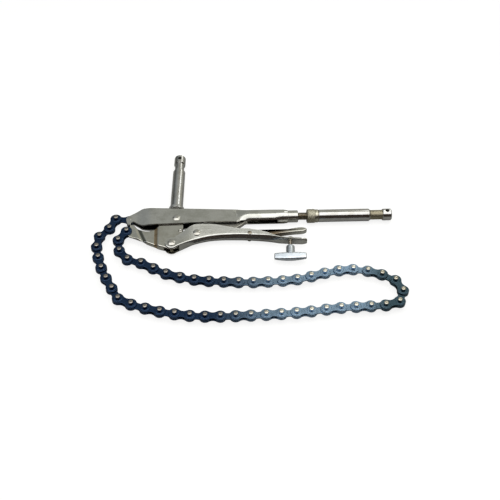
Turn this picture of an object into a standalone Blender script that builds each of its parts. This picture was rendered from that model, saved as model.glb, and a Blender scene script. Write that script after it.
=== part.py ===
"""Chain clamp: a locking plier that pulls a long chain tight, with two mounting studs.

Lengths are in metres and angles in degrees. The drawing frame has its origin on the jaw's pivot, +X along
the tube to the rear, +Y from the lower handle towards the upright stud, and +Z square to the side plates.
Its plane z = 0 is the middle of the tool and of the chain. At the end everything is moved so that the
lowest point lies at z = 0 and the box of the whole clamp is centred on x = y = 0.
"""
import math

import bmesh
import bpy
from mathutils import Matrix, Vector
from mathutils.geometry import tessellate_polygon

# Clearances and cuts
CLEARANCE = 0.0003
OVERRUN = 0.0020

# Sheet, rivets and the widths that nest in each other
SHEET = 0.0020
JAW_WIDTH = 0.0084
JAW_SHEET = 0.0019
RIVET_SHANK_RADIUS = 0.0030
RIVET_HEAD_RADIUS = 0.0047
RIVET_HEAD_HEIGHT = 0.0018
SMALL_SHANK_RADIUS = 0.0015
SMALL_HEAD_RADIUS = 0.0026
SMALL_HEAD_HEIGHT = 0.0007

# Chain
CHAIN_PITCH = 0.0176
CHAIN_PITCHES = 52
CHAIN_PLATE = 0.0025
CHAIN_EYE_RADIUS = 0.0071
CHAIN_WAIST = 0.0098
CHAIN_PIN_RADIUS = 0.00235
CHAIN_PIN_LENGTH = 0.0145
CHAIN_NECK_ANGLE = 50.0

# Upper handle: nose, flat-sided channel, tube
NOSE_REACH = 0.0630
CREST_HEIGHT = 0.0193
CHANNEL_REACH = 0.0880
FOLD_RADIUS = 0.0028
TUBE_RADIUS = 0.0090
TUBE_HEIGHT = 0.0050
TUBE_SLOT = 0.0060
TUBE_LENGTH = 0.0530
TUBE_BLEND = 0.0225
TUBE_CONE = 0.0050
TUBE_MOUTH_RADIUS = 0.0081
SLOT_RELIEF = 0.0001

# Jaw, from its pivot
JAW_REACH = 0.0621
JAW_DROP = 0.0420
JAW_EYE_RADIUS = 0.0082
JAW_CROWN_ARC = (125.0, 5.0)
JAW_HEEL_ARC = (232.0, 350.0)
SEAT_PLAY = 0.0007
HOOK_HOLE_RADIUS = 0.0008
HOOK_LIP = 0.0061
HOOK_LIP_ARC = (233.0, 285.0)
HOOK_MOUTH_ANGLE = 225.0
HOOK_SHELF_ANGLE = 49.0

# Lower handle, from its pivot in the jaw
LEVER_REACH = 0.1676
LEVER_RISE = 0.0291
LEVER_EYE_RADIUS = 0.0084
LEVER_EYE_TOP_ARC = (168.0, 66.0)
LEVER_EYE_LOW_ARC = (192.0, 290.0)
LEVER_FOLD_RADIUS = 0.0024
LEVER_TAIL_WIDTH = 0.0110
LEVER_TIP_WIDTH = 0.0066
LEVER_FLANGE = 0.0006

# Toggle link
LINK_THICKNESS = 0.0050
LINK_FRONT_RADIUS = 0.0062
LINK_REAR_RADIUS = 0.0038
LINK_FRONT_ARC = (130.0, 285.0)
LINK_REAR_ARC = (-75.0, 95.0)
LINK_PLAY = 0.0015

# Release lever
RELEASE_WIDTH = 0.0070
RELEASE_REACH = 0.0728
RELEASE_RISE = 0.0109

# Adjusting screw, its bush, collar and stud
SCREW_RADIUS = 0.0050
SCREW_CHAMFER = 0.0008
BUSH_RADIUS = 0.0077
BUSH_LENGTH = 0.0128
BUSH_PLUG = 0.0130
BUSH_CHAMFER = 0.0006
COLLAR_GAP = 0.0115
COLLAR_RADIUS = 0.0090
COLLAR_LENGTH = 0.0104
COLLAR_RING_RADIUS = 0.0083
COLLAR_RING_LENGTH = 0.0040
COLLAR_CHAMFER = 0.0007
SCREW_GRIP = 0.0100

# Studs
STUD_RADIUS = 0.0080
STUD_NECK_RADIUS = 0.0061
STUD_HEAD_RADIUS = 0.0075
STUD_HOLE_RADIUS = 0.0026
STUD_CHAMFER = 0.0010
REAR_BODY = 0.0660
REAR_NECK = 0.0170
REAR_HEAD = 0.0110
TOP_BODY = 0.0725
TOP_NECK = 0.0135
TOP_HEAD = 0.0135
TOP_STUD_LEAN = 2.8
TOP_STUD_PLACE = -0.0004
FOOT_HEIGHT = 0.0042
FOOT_RADIUS = 0.0089
FOOT_RIM = 0.0012

# Safety screw
LOCK_LEAN = 4.2
LOCK_TURN = 5.0
LOCK_STEM_RADIUS = 0.0025
LOCK_STEM_ABOVE = 0.0009
LOCK_STEM_CHAMFER = 0.0005
LOCK_STEM_BELOW = 0.0165
LOCK_BOSS_RADIUS = 0.0053
LOCK_BOSS_DROP = 0.0088
LOCK_BOSS_LENGTH = 0.0125
LOCK_BAR_LENGTH = 0.0395
LOCK_BAR_HEIGHT = 0.0086
LOCK_BAR_BELLY = 0.0018
LOCK_BAR_THICKNESS = 0.0094
LOCK_BAR_END = 0.0052
LOCK_BAR_CHAMFER = 0.0010
LOCK_NUT_RADIUS = 0.0048
LOCK_NUT_HEIGHT = 0.0024
LOCK_NUT_CHAMFER = 0.0005

# Tension spring
SPRING_WIRE_RADIUS = 0.0005
SPRING_COIL_RADIUS = 0.0024
SPRING_CURLS = 11
SPRING_CURL_POINTS = 8
SPRING_FRONT_LEAD = 0.0080
SPRING_REAR_LEAD = 0.0050
SPRING_HOOK = 0.0006
POST_RADIUS = 0.0018
POST_TIP = 0.0016
POST_CHAMFER = 0.0004
POST_SINK = 0.0007

# Facets
ROUND_SIDES = 20
RIVET_SIDES = 10
PIN_SIDES = 8
BOSS_SIDES = 16
EYE_STEPS = 6
INNER_EYE_STEPS = 4
FOLD_STEPS = 3
PLAIN_FOLD_STEPS = 2

# Pivots: first their shares of the piece that carries them, then their places
HEEL_SHARE = -0.095
SEAT_SHARE = -0.390
ANCHOR_SHARES = (-0.929, 0.202)
LINK_PIVOT_SHARES = (0.186, 0.553)
RELEASE_PIVOT_SHARES = (0.5775, 0.488)
LINK_END_SHARE = 1.136
SPRING_FRONT_SHARES = (0.080, -0.476)
SPRING_REAR_SHARES = (0.716, 0.340)
JAW_PIVOT = (0.0, 0.0)
HANDLE_PIVOT = (HEEL_SHARE * JAW_REACH, -JAW_DROP)
CHAIN_SEAT = (-JAW_REACH, SEAT_SHARE * JAW_DROP)
CHAIN_ANCHOR = (ANCHOR_SHARES[0] * NOSE_REACH, ANCHOR_SHARES[1] * CREST_HEIGHT)
LINK_PIVOT = (
    HANDLE_PIVOT[0] + LINK_PIVOT_SHARES[0] * LEVER_REACH, HANDLE_PIVOT[1] + LINK_PIVOT_SHARES[1] * LEVER_RISE,
)
RELEASE_PIVOT = (
    HANDLE_PIVOT[0] + RELEASE_PIVOT_SHARES[0] * LEVER_REACH, HANDLE_PIVOT[1] + RELEASE_PIVOT_SHARES[1] * LEVER_RISE,
)
LINK_END = (LINK_END_SHARE * CHANNEL_REACH, TUBE_HEIGHT)
SPRING_FRONT = (SPRING_FRONT_SHARES[0] * JAW_REACH, SPRING_FRONT_SHARES[1] * JAW_DROP)
SPRING_REAR = (SPRING_REAR_SHARES[0] * CHANNEL_REACH, SPRING_REAR_SHARES[1] * CREST_HEIGHT)

# Widths that follow from what nests inside
NOSE_GAP = CHAIN_PLATE + 2 * CLEARANCE
NOSE_WIDTH = NOSE_GAP + 2 * SHEET
CHANNEL_GAP = JAW_WIDTH + 2 * CLEARANCE
CHANNEL_WIDTH = CHANNEL_GAP + 2 * SHEET
TUBE_END = CHANNEL_REACH + TUBE_LENGTH
BUSH_END = TUBE_END + CLEARANCE + BUSH_LENGTH
COLLAR_START = BUSH_END + COLLAR_GAP
COLLAR_END = COLLAR_START + COLLAR_LENGTH + COLLAR_RING_LENGTH
STUD_START = COLLAR_END + CLEARANCE

# Outlines: shares of the reach along x and of the rise, drop or crest along y
NOSE_TOP_SHARES = ((-1.0, 0.34), (-0.978, 0.42), (-0.678, 1.09))
NOSE_LOW_SHARES = (
    (-1.0, 0.16), (-0.993, -0.06), (-0.983, -0.20), (-0.962, -0.31), (-0.935, -0.37), (-0.905, -0.37),
    (-0.902, -0.22), (-0.886, -0.12), (-0.865, -0.085), (-0.841, -0.10), (-0.675, -0.50),
)
CHANNEL_LOW_SHARES = ((0.216, -0.42), (0.545, -0.347), (0.858, -0.389))
NOSE_PINCH_SHARES = (-0.825, -0.48)
NOSE_WEB_SHARE = -0.794
TUBE_STEP_SHARES = (0.2, 0.4, 0.6, 0.8, 1.0)

JAW_TOP_SHARES = (
    (-0.947, -0.19), (-0.920, -0.126), (-0.858, -0.136), (-0.816, -0.233), (-0.750, -0.345), (-0.692, -0.402),
    (-0.612, -0.443), (-0.533, -0.431), (-0.454, -0.331), (-0.396, -0.202), (-0.320, -0.02), (-0.200, 0.12),
)
JAW_LOW_SHARES = (
    (-0.957, -0.602), (-0.845, -0.660), (-0.725, -0.755), (-0.625, -0.850), (-0.525, -0.933), (-0.366, -1.045),
)
JAW_BEND_SHARES = (-0.386, -0.750)
JAW_BEND_STEP_SHARES = (0.0, 0.17, 0.34, 0.5, 0.66, 0.83, 1.0)
JAW_HOLLOW_SHARES = (-0.700, -0.560)
JAW_FLOOR_SHARE = -0.250
JAW_REAR_SHARES = ((0.032, -0.955), (0.135, -0.376))

LEVER_TOP_SHARES = (
    (0.0215, 0.296), (0.097, 0.704), (0.156, 0.959), (0.209, 1.0), (0.283, 0.997), (0.320, 0.979), (0.394, 0.873),
    (0.478, 0.739), (0.564, 0.711), (0.623, 0.643), (0.696, 0.512), (0.761, 0.326), (0.833, 0.17),
)
LEVER_LOW_SHARES = (
    (0.063, -0.090), (0.163, 0.127), (0.249, 0.275), (0.317, 0.333), (0.390, 0.354), (0.524, 0.337), (0.612, 0.292),
    (0.693, 0.240), (0.796, 0.155), (0.886, 0.110), (0.943, 0.082), (0.978, 0.068), (0.993, 0.066), (1.0, 0.068),
)
LEVER_WEB_SHARE = 0.056
LEVER_TAPER_SHARES = (0.70, 0.94)
LOCK_SHARE = 0.876
DOME_SHARES = ((1.0, 0.0), (0.92, 0.55), (0.48, 1.0))
BAR_SHARES = (-1.0, -0.93, -0.5, 0.0, 0.5, 0.93, 1.0)

LINK_TOP_SHARES = ((0.03, 0.38), (0.135, 0.52), (0.33, 0.71), (0.58, 0.93), (0.86, 1.10))
LINK_LOW_SHARES = ((0.905, 0.84), (0.84, 0.72), (0.775, 0.535), (0.64, 0.31), (0.45, 0.10), (0.22, -0.10))

RELEASE_TOP_SHARES = (
    (0.05, 0.27), (0.16, 0.30), (0.30, 0.42), (0.435, 0.53), (0.61, 0.68), (0.787, 0.93), (0.875, 1.02),
    (0.955, 0.97), (1.0, 0.72),
)
RELEASE_LOW_SHARES = (
    (0.975, 0.48), (0.90, 0.33), (0.785, 0.30), (0.61, 0.15), (0.43, -0.02), (0.26, -0.15), (0.10, -0.18),
)
RELEASE_NOSE_SHARES = ((-0.03, -0.20), (-0.15, 0.30), (-0.205, 0.70), (-0.16, 0.68), (-0.09, 0.40))

# The chain's route: pin number, then its place from the anchor in pitches
CHAIN_ROUTE_SHARES = (
    (0, 0.0, 0.0), (1, -0.99, -0.01), (2, -1.46, -0.89), (3, -2.07, -1.65), (4, -2.19, -2.64), (6, -1.76, -4.55),
    (8, -0.95, -6.38), (9, -0.48, -7.26), (11, 1.27, -8.09), (13, 3.21, -8.63), (15, 5.20, -8.90),
    (18, 8.23, -8.91), (21, 11.33, -8.78), (24, 14.31, -8.47), (27, 17.23, -8.35), (28, 18.14, -8.12),
    (29, 18.53, -7.18), (30, 18.18, -6.26), (31, 17.37, -5.71), (33, 15.57, -5.16), (35, 13.60, -5.39),
    (37, 11.65, -5.92), (40, 8.58, -6.10), (42, 6.55, -5.99), (44, 4.57, -5.76), (46, 2.64, -5.17),
    (48, 0.96, -4.17), (49, 0.05, -3.91), (50, -0.61, -3.10), (51, -0.76, -2.03),
)
SETTLING_PASSES = 300

# Colours: linear red, green, blue, then metallic and roughness
NICKEL = ((0.55, 0.53, 0.49), 1.0, 0.32)
BRIGHT = ((0.72, 0.71, 0.68), 1.0, 0.16)
STEEL = ((0.42, 0.41, 0.39), 1.0, 0.40)
BLUED = ((0.035, 0.06, 0.11), 0.9, 0.38)
ZINC = ((0.52, 0.57, 0.63), 1.0, 0.30)
SPRING_STEEL = ((0.25, 0.25, 0.26), 1.0, 0.35)


def scaled(shares, x_size, y_size, origin=(0.0, 0.0)):
    """Outline points from shares of two sizes, counted from an origin."""
    return [(origin[0] + x * x_size, origin[1] + y * y_size) for x, y in shares]


def arc(centre, radius, start, end, steps):
    """Points on an arc, both ends included; angles in degrees, counted from +X towards +Y."""
    return [arc_point(centre, radius, start + (end - start) * i / steps) for i in range(steps + 1)]


def arc_point(centre, radius, angle):
    """The point of a circle at an angle in degrees."""
    turn = math.radians(angle)
    return (centre[0] + radius * math.cos(turn), centre[1] + radius * math.sin(turn))


def height_at(points, x):
    """Height of an edge at x, from the straight runs between its points; level past its ends."""
    if x <= points[0][0]:
        return points[0][1]
    for (x0, y0), (x1, y1) in zip(points, points[1:]):
        if x <= x1:
            return y0 + (y1 - y0) * (x - x0) / (x1 - x0)
    return points[-1][1]


def eased(share):
    """Smooth step from 0 to 1."""
    share = min(max(share, 0.0), 1.0)
    return share * share * (3.0 - 2.0 * share)


def stations(*edges):
    """Places along x where any of the edges has a point, each once."""
    places = sorted(x for edge in edges for x, _ in edge)
    kept = places[:1]
    for x in places[1:]:
        if x - kept[-1] > SLOT_RELIEF:
            kept.append(x)
    return kept


def node(name, verts, faces):
    """One closed mesh object with outward faces."""
    mesh = bpy.data.meshes.new(name)
    mesh.from_pydata(verts, [], faces)
    work = bmesh.new()
    work.from_mesh(mesh)
    bmesh.ops.recalc_face_normals(work, faces=work.faces)
    work.to_mesh(mesh)
    work.free()
    made = bpy.data.objects.new(name, mesh)
    bpy.context.scene.collection.objects.link(made)
    return made


def skinned(name, rings, hollow=False):
    """A body through rings of equal count; its ends are capped, or joined to each other if hollow."""
    count = len(rings[0])
    verts = [point for ring in rings for point in ring]
    faces = []
    spans = len(rings) if hollow else len(rings) - 1
    for i in range(spans):
        here = i * count
        there = (i + 1) % len(rings) * count
        for j in range(count):
            k = (j + 1) % count
            faces.append((here + j, here + k, there + k, there + j))
    if not hollow:
        faces.append(tuple(range(count)))
        faces.append(tuple(range((len(rings) - 1) * count, len(rings) * count)))
    return node(name, verts, faces)


def prism(name, outline, low, high):
    """An outline in x and y carried from z = low to z = high."""
    return skinned(name, [[(x, y, z) for x, y in outline] for z in (low, high)])


def turned(name, profile, start, direction, sides=ROUND_SIDES, bored=False):
    """A turned body: profile holds (distance along the axis, radius); a bored one has a closed profile."""
    axis = Vector(direction).normalized()
    across = axis.orthogonal().normalized()
    other = axis.cross(across)
    rings = []
    for distance, radius in profile:
        centre = Vector(start) + axis * distance
        ring = []
        for i in range(sides):
            angle = 2 * math.pi * (i + 0.5) / sides
            ring.append(tuple(centre + (across * math.cos(angle) + other * math.sin(angle)) * radius))
        rings.append(ring)
    return skinned(name, rings, hollow=bored)


def combine(target, tool, operation="DIFFERENCE"):
    """Cut the tool from the target or join it to the target, and drop the tool."""
    change = target.modifiers.new("change", "BOOLEAN")
    change.operation = operation
    change.solver = "EXACT"
    change.object = tool
    graph = bpy.context.evaluated_depsgraph_get()
    mesh = bpy.data.meshes.new_from_object(target.evaluated_get(graph))
    target.modifiers.clear()
    old = target.data
    target.data = mesh
    bpy.data.meshes.remove(old)
    mesh.name = target.name
    bpy.data.objects.remove(tool)
    return target


def drilled(target, place, radius, width, sides=RIVET_SIDES):
    """A hole along z through the target at a place in the plane."""
    length = width + 2 * OVERRUN
    start = (place[0], place[1], -length / 2)
    return combine(target, turned("hole", [(0, radius), (length, radius)], start, (0, 0, 1), sides))


def rivet(name, place, width, shank, head, height):
    """A rivet with two domed heads, seated on faces that are width apart."""
    face = width / 2 + CLEARANCE
    top = [(face + height * up, head * out) for out, up in DOME_SHARES]
    profile = [(-z, r) for z, r in reversed(top)] + [(-face, shank), (face, shank)] + top
    return turned(name, profile, (*place, 0), (0, 0, 1), RIVET_SIDES)


def fold(top, low, half, corner):
    """Round-cornered channel section open at the bottom, as (y, z) from one lower edge to the other."""
    left = [(low, -half), (top - corner, -half)]
    for i in range(1, PLAIN_FOLD_STEPS + 1):
        angle = math.pi / 2 * i / PLAIN_FOLD_STEPS
        left.append((top - corner + corner * math.sin(angle), -half + corner - corner * math.cos(angle)))
    return left + [(y, -z) for y, z in reversed(left)]


def rich_fold(top, low, half, corner):
    """The same section with as many points as the tube's section needs."""
    left = [(low, -half), ((low + top - corner) / 2, -half), (top - corner, -half)]
    for i in range(1, FOLD_STEPS + 1):
        angle = math.pi / 2 * i / FOLD_STEPS
        left.append((top - corner + corner * math.sin(angle), -half + corner - corner * math.cos(angle)))
    left.append((top, -(half - corner) / 3))
    return left + [(y, -z) for y, z in reversed(left)]


def curl(height, radius, slot, count):
    """Tube section with a slot at the bottom, as (y, z) from one edge of the slot to the other."""
    opening = math.asin(slot / 2 / radius)
    points = []
    for i in range(count):
        angle = opening + (2 * math.pi - 2 * opening) * i / (count - 1)
        points.append((height - radius * math.cos(angle), -radius * math.sin(angle)))
    return points


def mixed(first, second, share):
    """Points between two sections of equal count."""
    return [(a + (c - a) * share, b + (d - b) * share) for (a, b), (c, d) in zip(first, second)]


def section(x, outer, inner):
    """A closed ring of the sheet between an outer and an inner section."""
    return [(x, y, z) for y, z in outer] + [(x, y, z) for y, z in reversed(inner)]


def channel_section(shape, x, top, low, half, corner):
    """Ring of the folded sheet at x."""
    outer = shape(top, low, half, corner)
    inner = shape(top - SHEET, low, half - SHEET, max(corner - SHEET, corner * SHEET / TUBE_RADIUS))
    return section(x, outer, inner)


def upper_edges():
    """Top and lower edge of the nose and channel."""
    top = scaled(NOSE_TOP_SHARES, NOSE_REACH, CREST_HEIGHT)
    top.append((CHANNEL_REACH, TUBE_HEIGHT + TUBE_RADIUS))
    low = scaled(NOSE_LOW_SHARES, NOSE_REACH, CREST_HEIGHT)
    low += scaled(CHANNEL_LOW_SHARES, CHANNEL_REACH, CREST_HEIGHT)
    return top, low


def upper_half_width(x):
    """Half the width of the nose or channel at x."""
    start, end = (share * NOSE_REACH for share in NOSE_PINCH_SHARES)
    return (NOSE_WIDTH + (CHANNEL_WIDTH - NOSE_WIDTH) * eased((x - start) / (end - start))) / 2


def upper_handle():
    """Folded sheet: a pinched and forked nose, a channel, and a tube with a slot below and a coned mouth."""
    top, low = upper_edges()
    start, end = (share * NOSE_REACH for share in NOSE_PINCH_SHARES)
    pinch = [(start + (end - start) * i / 4, 0) for i in range(5)]
    rings = []
    blend_start = low[-1][0]
    for x in stations(top[:-1], low, pinch):
        half = upper_half_width(x)
        ring = channel_section(rich_fold, x, height_at(top, x), height_at(low, x), half, min(FOLD_RADIUS, half))
        rings.append(ring)
    for share in TUBE_STEP_SHARES:
        x = blend_start + share * TUBE_BLEND
        crown = height_at(top, x)
        outer = rich_fold(crown, low[-1][1], CHANNEL_WIDTH / 2, FOLD_RADIUS)
        inner = rich_fold(crown - SHEET, low[-1][1], CHANNEL_GAP / 2, FOLD_RADIUS - SHEET)
        round_outer = curl(TUBE_HEIGHT, TUBE_RADIUS, TUBE_SLOT, len(outer))
        round_inner = curl(TUBE_HEIGHT, TUBE_RADIUS - SHEET, TUBE_SLOT, len(outer))
        rings.append(section(x, mixed(outer, round_outer, eased(share)), mixed(inner, round_inner, eased(share))))
    count = len(rings[0]) // 2
    for x, radius in ((TUBE_END - TUBE_CONE, TUBE_RADIUS), (TUBE_END, TUBE_MOUTH_RADIUS)):
        outer = curl(TUBE_HEIGHT, radius, TUBE_SLOT, count)
        inner = curl(TUBE_HEIGHT, TUBE_RADIUS - SHEET, TUBE_SLOT, count)
        rings.append(section(x, outer, inner))
    made = skinned("upper_handle", rings)
    fork = [(-NOSE_REACH - OVERRUN, -CREST_HEIGHT), (NOSE_WEB_SHARE * NOSE_REACH, -CREST_HEIGHT)]
    fork += [(x, CREST_HEIGHT + OVERRUN) for x, _ in reversed(fork)]
    slot = NOSE_GAP / 2 + SLOT_RELIEF
    combine(made, prism("fork", fork, -slot, slot))
    drilled(made, CHAIN_ANCHOR, CHAIN_PIN_RADIUS + CLEARANCE, NOSE_WIDTH)
    drilled(made, JAW_PIVOT, RIVET_SHANK_RADIUS + CLEARANCE, CHANNEL_WIDTH)
    return made


def chain_anchor_pin():
    """Flush pin across the fork of the nose."""
    profile = [(0, CHAIN_PIN_RADIUS), (NOSE_WIDTH, CHAIN_PIN_RADIUS)]
    return turned("chain_anchor_pin", profile, (*CHAIN_ANCHOR, -NOSE_WIDTH / 2), (0, 0, 1), RIVET_SIDES)


def jaw_edges():
    """Top and lower edge of the jaw, from the lip under the chain's last pin to its rear edge."""
    lip = arc(CHAIN_SEAT, HOOK_LIP, *HOOK_LIP_ARC, INNER_EYE_STEPS)
    mouth = [arc_point(CHAIN_SEAT, HOOK_LIP, HOOK_MOUTH_ANGLE)]
    seat = [arc_point(CHAIN_SEAT, CHAIN_PIN_RADIUS, HOOK_SHELF_ANGLE)]
    crown = arc(JAW_PIVOT, JAW_EYE_RADIUS, *JAW_CROWN_ARC, EYE_STEPS)
    rear = scaled(JAW_REAR_SHARES, JAW_REACH, JAW_DROP)
    top = mouth + seat + scaled(JAW_TOP_SHARES, JAW_REACH, JAW_DROP) + crown
    heel = arc(HANDLE_PIVOT, JAW_EYE_RADIUS, *JAW_HEEL_ARC, EYE_STEPS)
    low = lip + scaled(JAW_LOW_SHARES, JAW_REACH, JAW_DROP) + heel + rear
    return top, low


def jaw_half_width(x):
    """Half the jaw's width at x: flat walls, then a bend in to the tongue."""
    start, end = (share * JAW_REACH for share in JAW_BEND_SHARES)
    return (JAW_WIDTH + (CHAIN_PLATE - JAW_WIDTH) * eased((x - start) / (end - start))) / 2


def jaw():
    """Folded jaw: hooked tongue, scooped throat and two flat walls with the pivots."""
    top, low = jaw_edges()
    start, end = (share * JAW_REACH for share in JAW_BEND_SHARES)
    bend = [(start + (end - start) * share, 0) for share in JAW_BEND_STEP_SHARES]
    rings = []
    for x in stations(top, low, bend):
        half = jaw_half_width(x)
        high = height_at(top, x)
        floor = min(height_at(low, x), high - SLOT_RELIEF)
        rings.append([(x, floor, -half), (x, high, -half), (x, high, half), (x, floor, half)])
    made = skinned("jaw", rings)
    seat_radius = CHAIN_PIN_RADIUS + SEAT_PLAY
    bore = [(0, seat_radius), (JAW_WIDTH, seat_radius)]
    combine(made, turned("seat", bore, (*CHAIN_SEAT, -JAW_WIDTH / 2), (0, 0, 1), BOSS_SIDES))
    hollow = JAW_WIDTH / 2 - JAW_SHEET
    front, full = (share * JAW_REACH for share in JAW_HOLLOW_SHARES)
    floor_end = JAW_FLOOR_SHARE * JAW_REACH
    rings = []
    places = [front, full] + [x for x, _ in low if full < x < floor_end] + [floor_end]
    for x in places:
        half = hollow if x > front else SLOT_RELIEF
        floor = height_at(low, x) + JAW_SHEET
        rings.append([(x, floor, -half), (x, JAW_DROP, -half), (x, JAW_DROP, half), (x, floor, half)])
    for x in (floor_end + SLOT_RELIEF, JAW_EYE_RADIUS + OVERRUN):
        floor = -JAW_DROP - JAW_EYE_RADIUS - OVERRUN
        rings.append([(x, floor, -hollow), (x, JAW_DROP, -hollow), (x, JAW_DROP, hollow), (x, floor, hollow)])
    combine(made, skinned("hollow", rings))
    drilled(made, JAW_PIVOT, RIVET_SHANK_RADIUS + CLEARANCE, JAW_WIDTH)
    drilled(made, HANDLE_PIVOT, RIVET_SHANK_RADIUS + CLEARANCE, JAW_WIDTH)
    drilled(made, SPRING_FRONT, HOOK_HOLE_RADIUS, JAW_WIDTH, PIN_SIDES)
    return made


def lever_edges():
    """Top and lower edge of the lower handle."""
    eye_top = arc(HANDLE_PIVOT, LEVER_EYE_RADIUS, *LEVER_EYE_TOP_ARC, EYE_STEPS)
    eye_low = arc(HANDLE_PIVOT, LEVER_EYE_RADIUS, *LEVER_EYE_LOW_ARC, EYE_STEPS)
    top = eye_top + scaled(LEVER_TOP_SHARES, LEVER_REACH, LEVER_RISE, HANDLE_PIVOT)
    low = eye_low + scaled(LEVER_LOW_SHARES, LEVER_REACH, LEVER_RISE, HANDLE_PIVOT)
    return top, low


def lever_half_width(x):
    """Half the lower handle's width at x: parallel, then a taper to the tail and a round tip."""
    start, end = (HANDLE_PIVOT[0] + share * LEVER_REACH for share in LEVER_TAPER_SHARES)
    width = CHANNEL_WIDTH + (LEVER_TAIL_WIDTH - CHANNEL_WIDTH) * eased((x - start) / (end - start))
    tip = (x - end) / (HANDLE_PIVOT[0] + LEVER_REACH - end)
    return (width + (LEVER_TIP_WIDTH - LEVER_TAIL_WIDTH) * max(tip, 0.0) ** 3) / 2


def lower_handle():
    """Folded hand lever: two ears outside the jaw, a channel open towards the tube, a flat tail."""
    top, low = lever_edges()
    web_start = HANDLE_PIVOT[0] + LEVER_WEB_SHARE * LEVER_REACH
    rings = []
    for x in stations(top, low):
        floor = height_at(low, x)
        crown = height_at(top, x)
        if x > top[-1][0]:
            crown = floor + SHEET + LEVER_FLANGE
        elif x > web_start:
            crown = max(crown, floor + SHEET + LEVER_FLANGE)
        corner = min(LEVER_FOLD_RADIUS, (crown - floor) / 3)
        ring = channel_section(fold, x, -floor, -crown, lever_half_width(x), corner)
        rings.append([(place, -y, z) for place, y, z in ring])
    made = skinned("lower_handle", rings)
    front = HANDLE_PIVOT[0] - LEVER_EYE_RADIUS - OVERRUN
    low_end = HANDLE_PIVOT[1] - LEVER_EYE_RADIUS - OVERRUN
    fork = [(front, low_end), (web_start, low_end), (web_start, 0), (front, 0)]
    slot = CHANNEL_GAP / 2 + SLOT_RELIEF
    combine(made, prism("fork", fork, -slot, slot))
    drilled(made, HANDLE_PIVOT, RIVET_SHANK_RADIUS + CLEARANCE, CHANNEL_WIDTH)
    drilled(made, LINK_PIVOT, RIVET_SHANK_RADIUS + CLEARANCE, CHANNEL_WIDTH)
    drilled(made, RELEASE_PIVOT, SMALL_SHANK_RADIUS + CLEARANCE, CHANNEL_WIDTH, PIN_SIDES)
    web, down = lock_axis()
    hole = [(-OVERRUN - SHEET, LOCK_STEM_RADIUS + CLEARANCE), (OVERRUN, LOCK_STEM_RADIUS + CLEARANCE)]
    combine(made, turned("hole", hole, web, down, RIVET_SIDES))
    return made


def toggle_link():
    """Over-centre bar with a wide hub at its front pivot and a round rear end inside the tube."""
    span = (LINK_END[0] - LINK_PIVOT[0], LINK_END[1] - LINK_PIVOT[1])
    outline = arc(LINK_PIVOT, LINK_FRONT_RADIUS, *LINK_FRONT_ARC, EYE_STEPS)
    outline += scaled(reversed(LINK_LOW_SHARES), *span, LINK_PIVOT)
    outline += arc(LINK_END, LINK_REAR_RADIUS, *LINK_REAR_ARC, EYE_STEPS)
    outline += scaled(reversed(LINK_TOP_SHARES), *span, LINK_PIVOT)
    made = prism("toggle_link", outline, -LINK_THICKNESS / 2, LINK_THICKNESS / 2)
    hub = [(0, RIVET_HEAD_RADIUS), (JAW_WIDTH, RIVET_HEAD_RADIUS)]
    combine(made, turned("hub", hub, (*LINK_PIVOT, -JAW_WIDTH / 2), (0, 0, 1), RIVET_SIDES), "UNION")
    return drilled(made, LINK_PIVOT, RIVET_SHANK_RADIUS + CLEARANCE, JAW_WIDTH)


def release_lever():
    """Tongue with a nose under the toggle link and a spoon-shaped finger end."""
    size = (RELEASE_REACH, RELEASE_RISE, RELEASE_PIVOT)
    outline = scaled(RELEASE_NOSE_SHARES, RELEASE_REACH, RELEASE_RISE, RELEASE_PIVOT)
    outline = list(reversed(outline))
    outline += [*reversed(scaled(RELEASE_LOW_SHARES, *size)), *reversed(scaled(RELEASE_TOP_SHARES, *size))]
    made = prism("release_lever", outline, -RELEASE_WIDTH / 2, RELEASE_WIDTH / 2)
    return drilled(made, RELEASE_PIVOT, SMALL_SHANK_RADIUS + CLEARANCE, RELEASE_WIDTH, PIN_SIDES)


def screw_bush():
    """Threaded bush: a plug inside the tube and a ferrule behind it."""
    bore = SCREW_RADIUS + CLEARANCE
    plug = TUBE_RADIUS - SHEET - CLEARANCE
    start = CLEARANCE
    end = CLEARANCE + BUSH_LENGTH
    profile = [
        (-BUSH_PLUG, bore), (-BUSH_PLUG, plug), (start, plug), (start, BUSH_RADIUS), (end - BUSH_CHAMFER, BUSH_RADIUS),
        (end, BUSH_RADIUS - BUSH_CHAMFER), (end, bore),
    ]
    return turned("screw_bush", profile, (TUBE_END, TUBE_HEIGHT, 0), (1, 0, 0), ROUND_SIDES, bored=True)


def adjusting_screw():
    """Threaded rod from the toggle link's rear end into the rear stud."""
    start = LINK_END[0] + LINK_REAR_RADIUS + LINK_PLAY
    length = STUD_START + SCREW_GRIP - start
    profile = [(0, SCREW_RADIUS - SCREW_CHAMFER), (SCREW_CHAMFER, SCREW_RADIUS), (length, SCREW_RADIUS)]
    return turned("adjusting_screw", profile, (start, TUBE_HEIGHT, 0), (1, 0, 0), RIVET_SIDES)


def lock_collar():
    """Round nut with a thin plain ring on its rear side."""
    bore = SCREW_RADIUS + CLEARANCE
    chamfered = COLLAR_RADIUS - COLLAR_CHAMFER
    end = COLLAR_LENGTH + COLLAR_RING_LENGTH
    profile = [
        (0, bore), (0, chamfered), (COLLAR_CHAMFER, COLLAR_RADIUS), (COLLAR_LENGTH - COLLAR_CHAMFER, COLLAR_RADIUS),
        (COLLAR_LENGTH, chamfered), (COLLAR_LENGTH, COLLAR_RING_RADIUS), (end, COLLAR_RING_RADIUS), (end, bore),
    ]
    return turned("lock_collar", profile, (COLLAR_START, TUBE_HEIGHT, 0), (1, 0, 0), ROUND_SIDES, bored=True)


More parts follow.
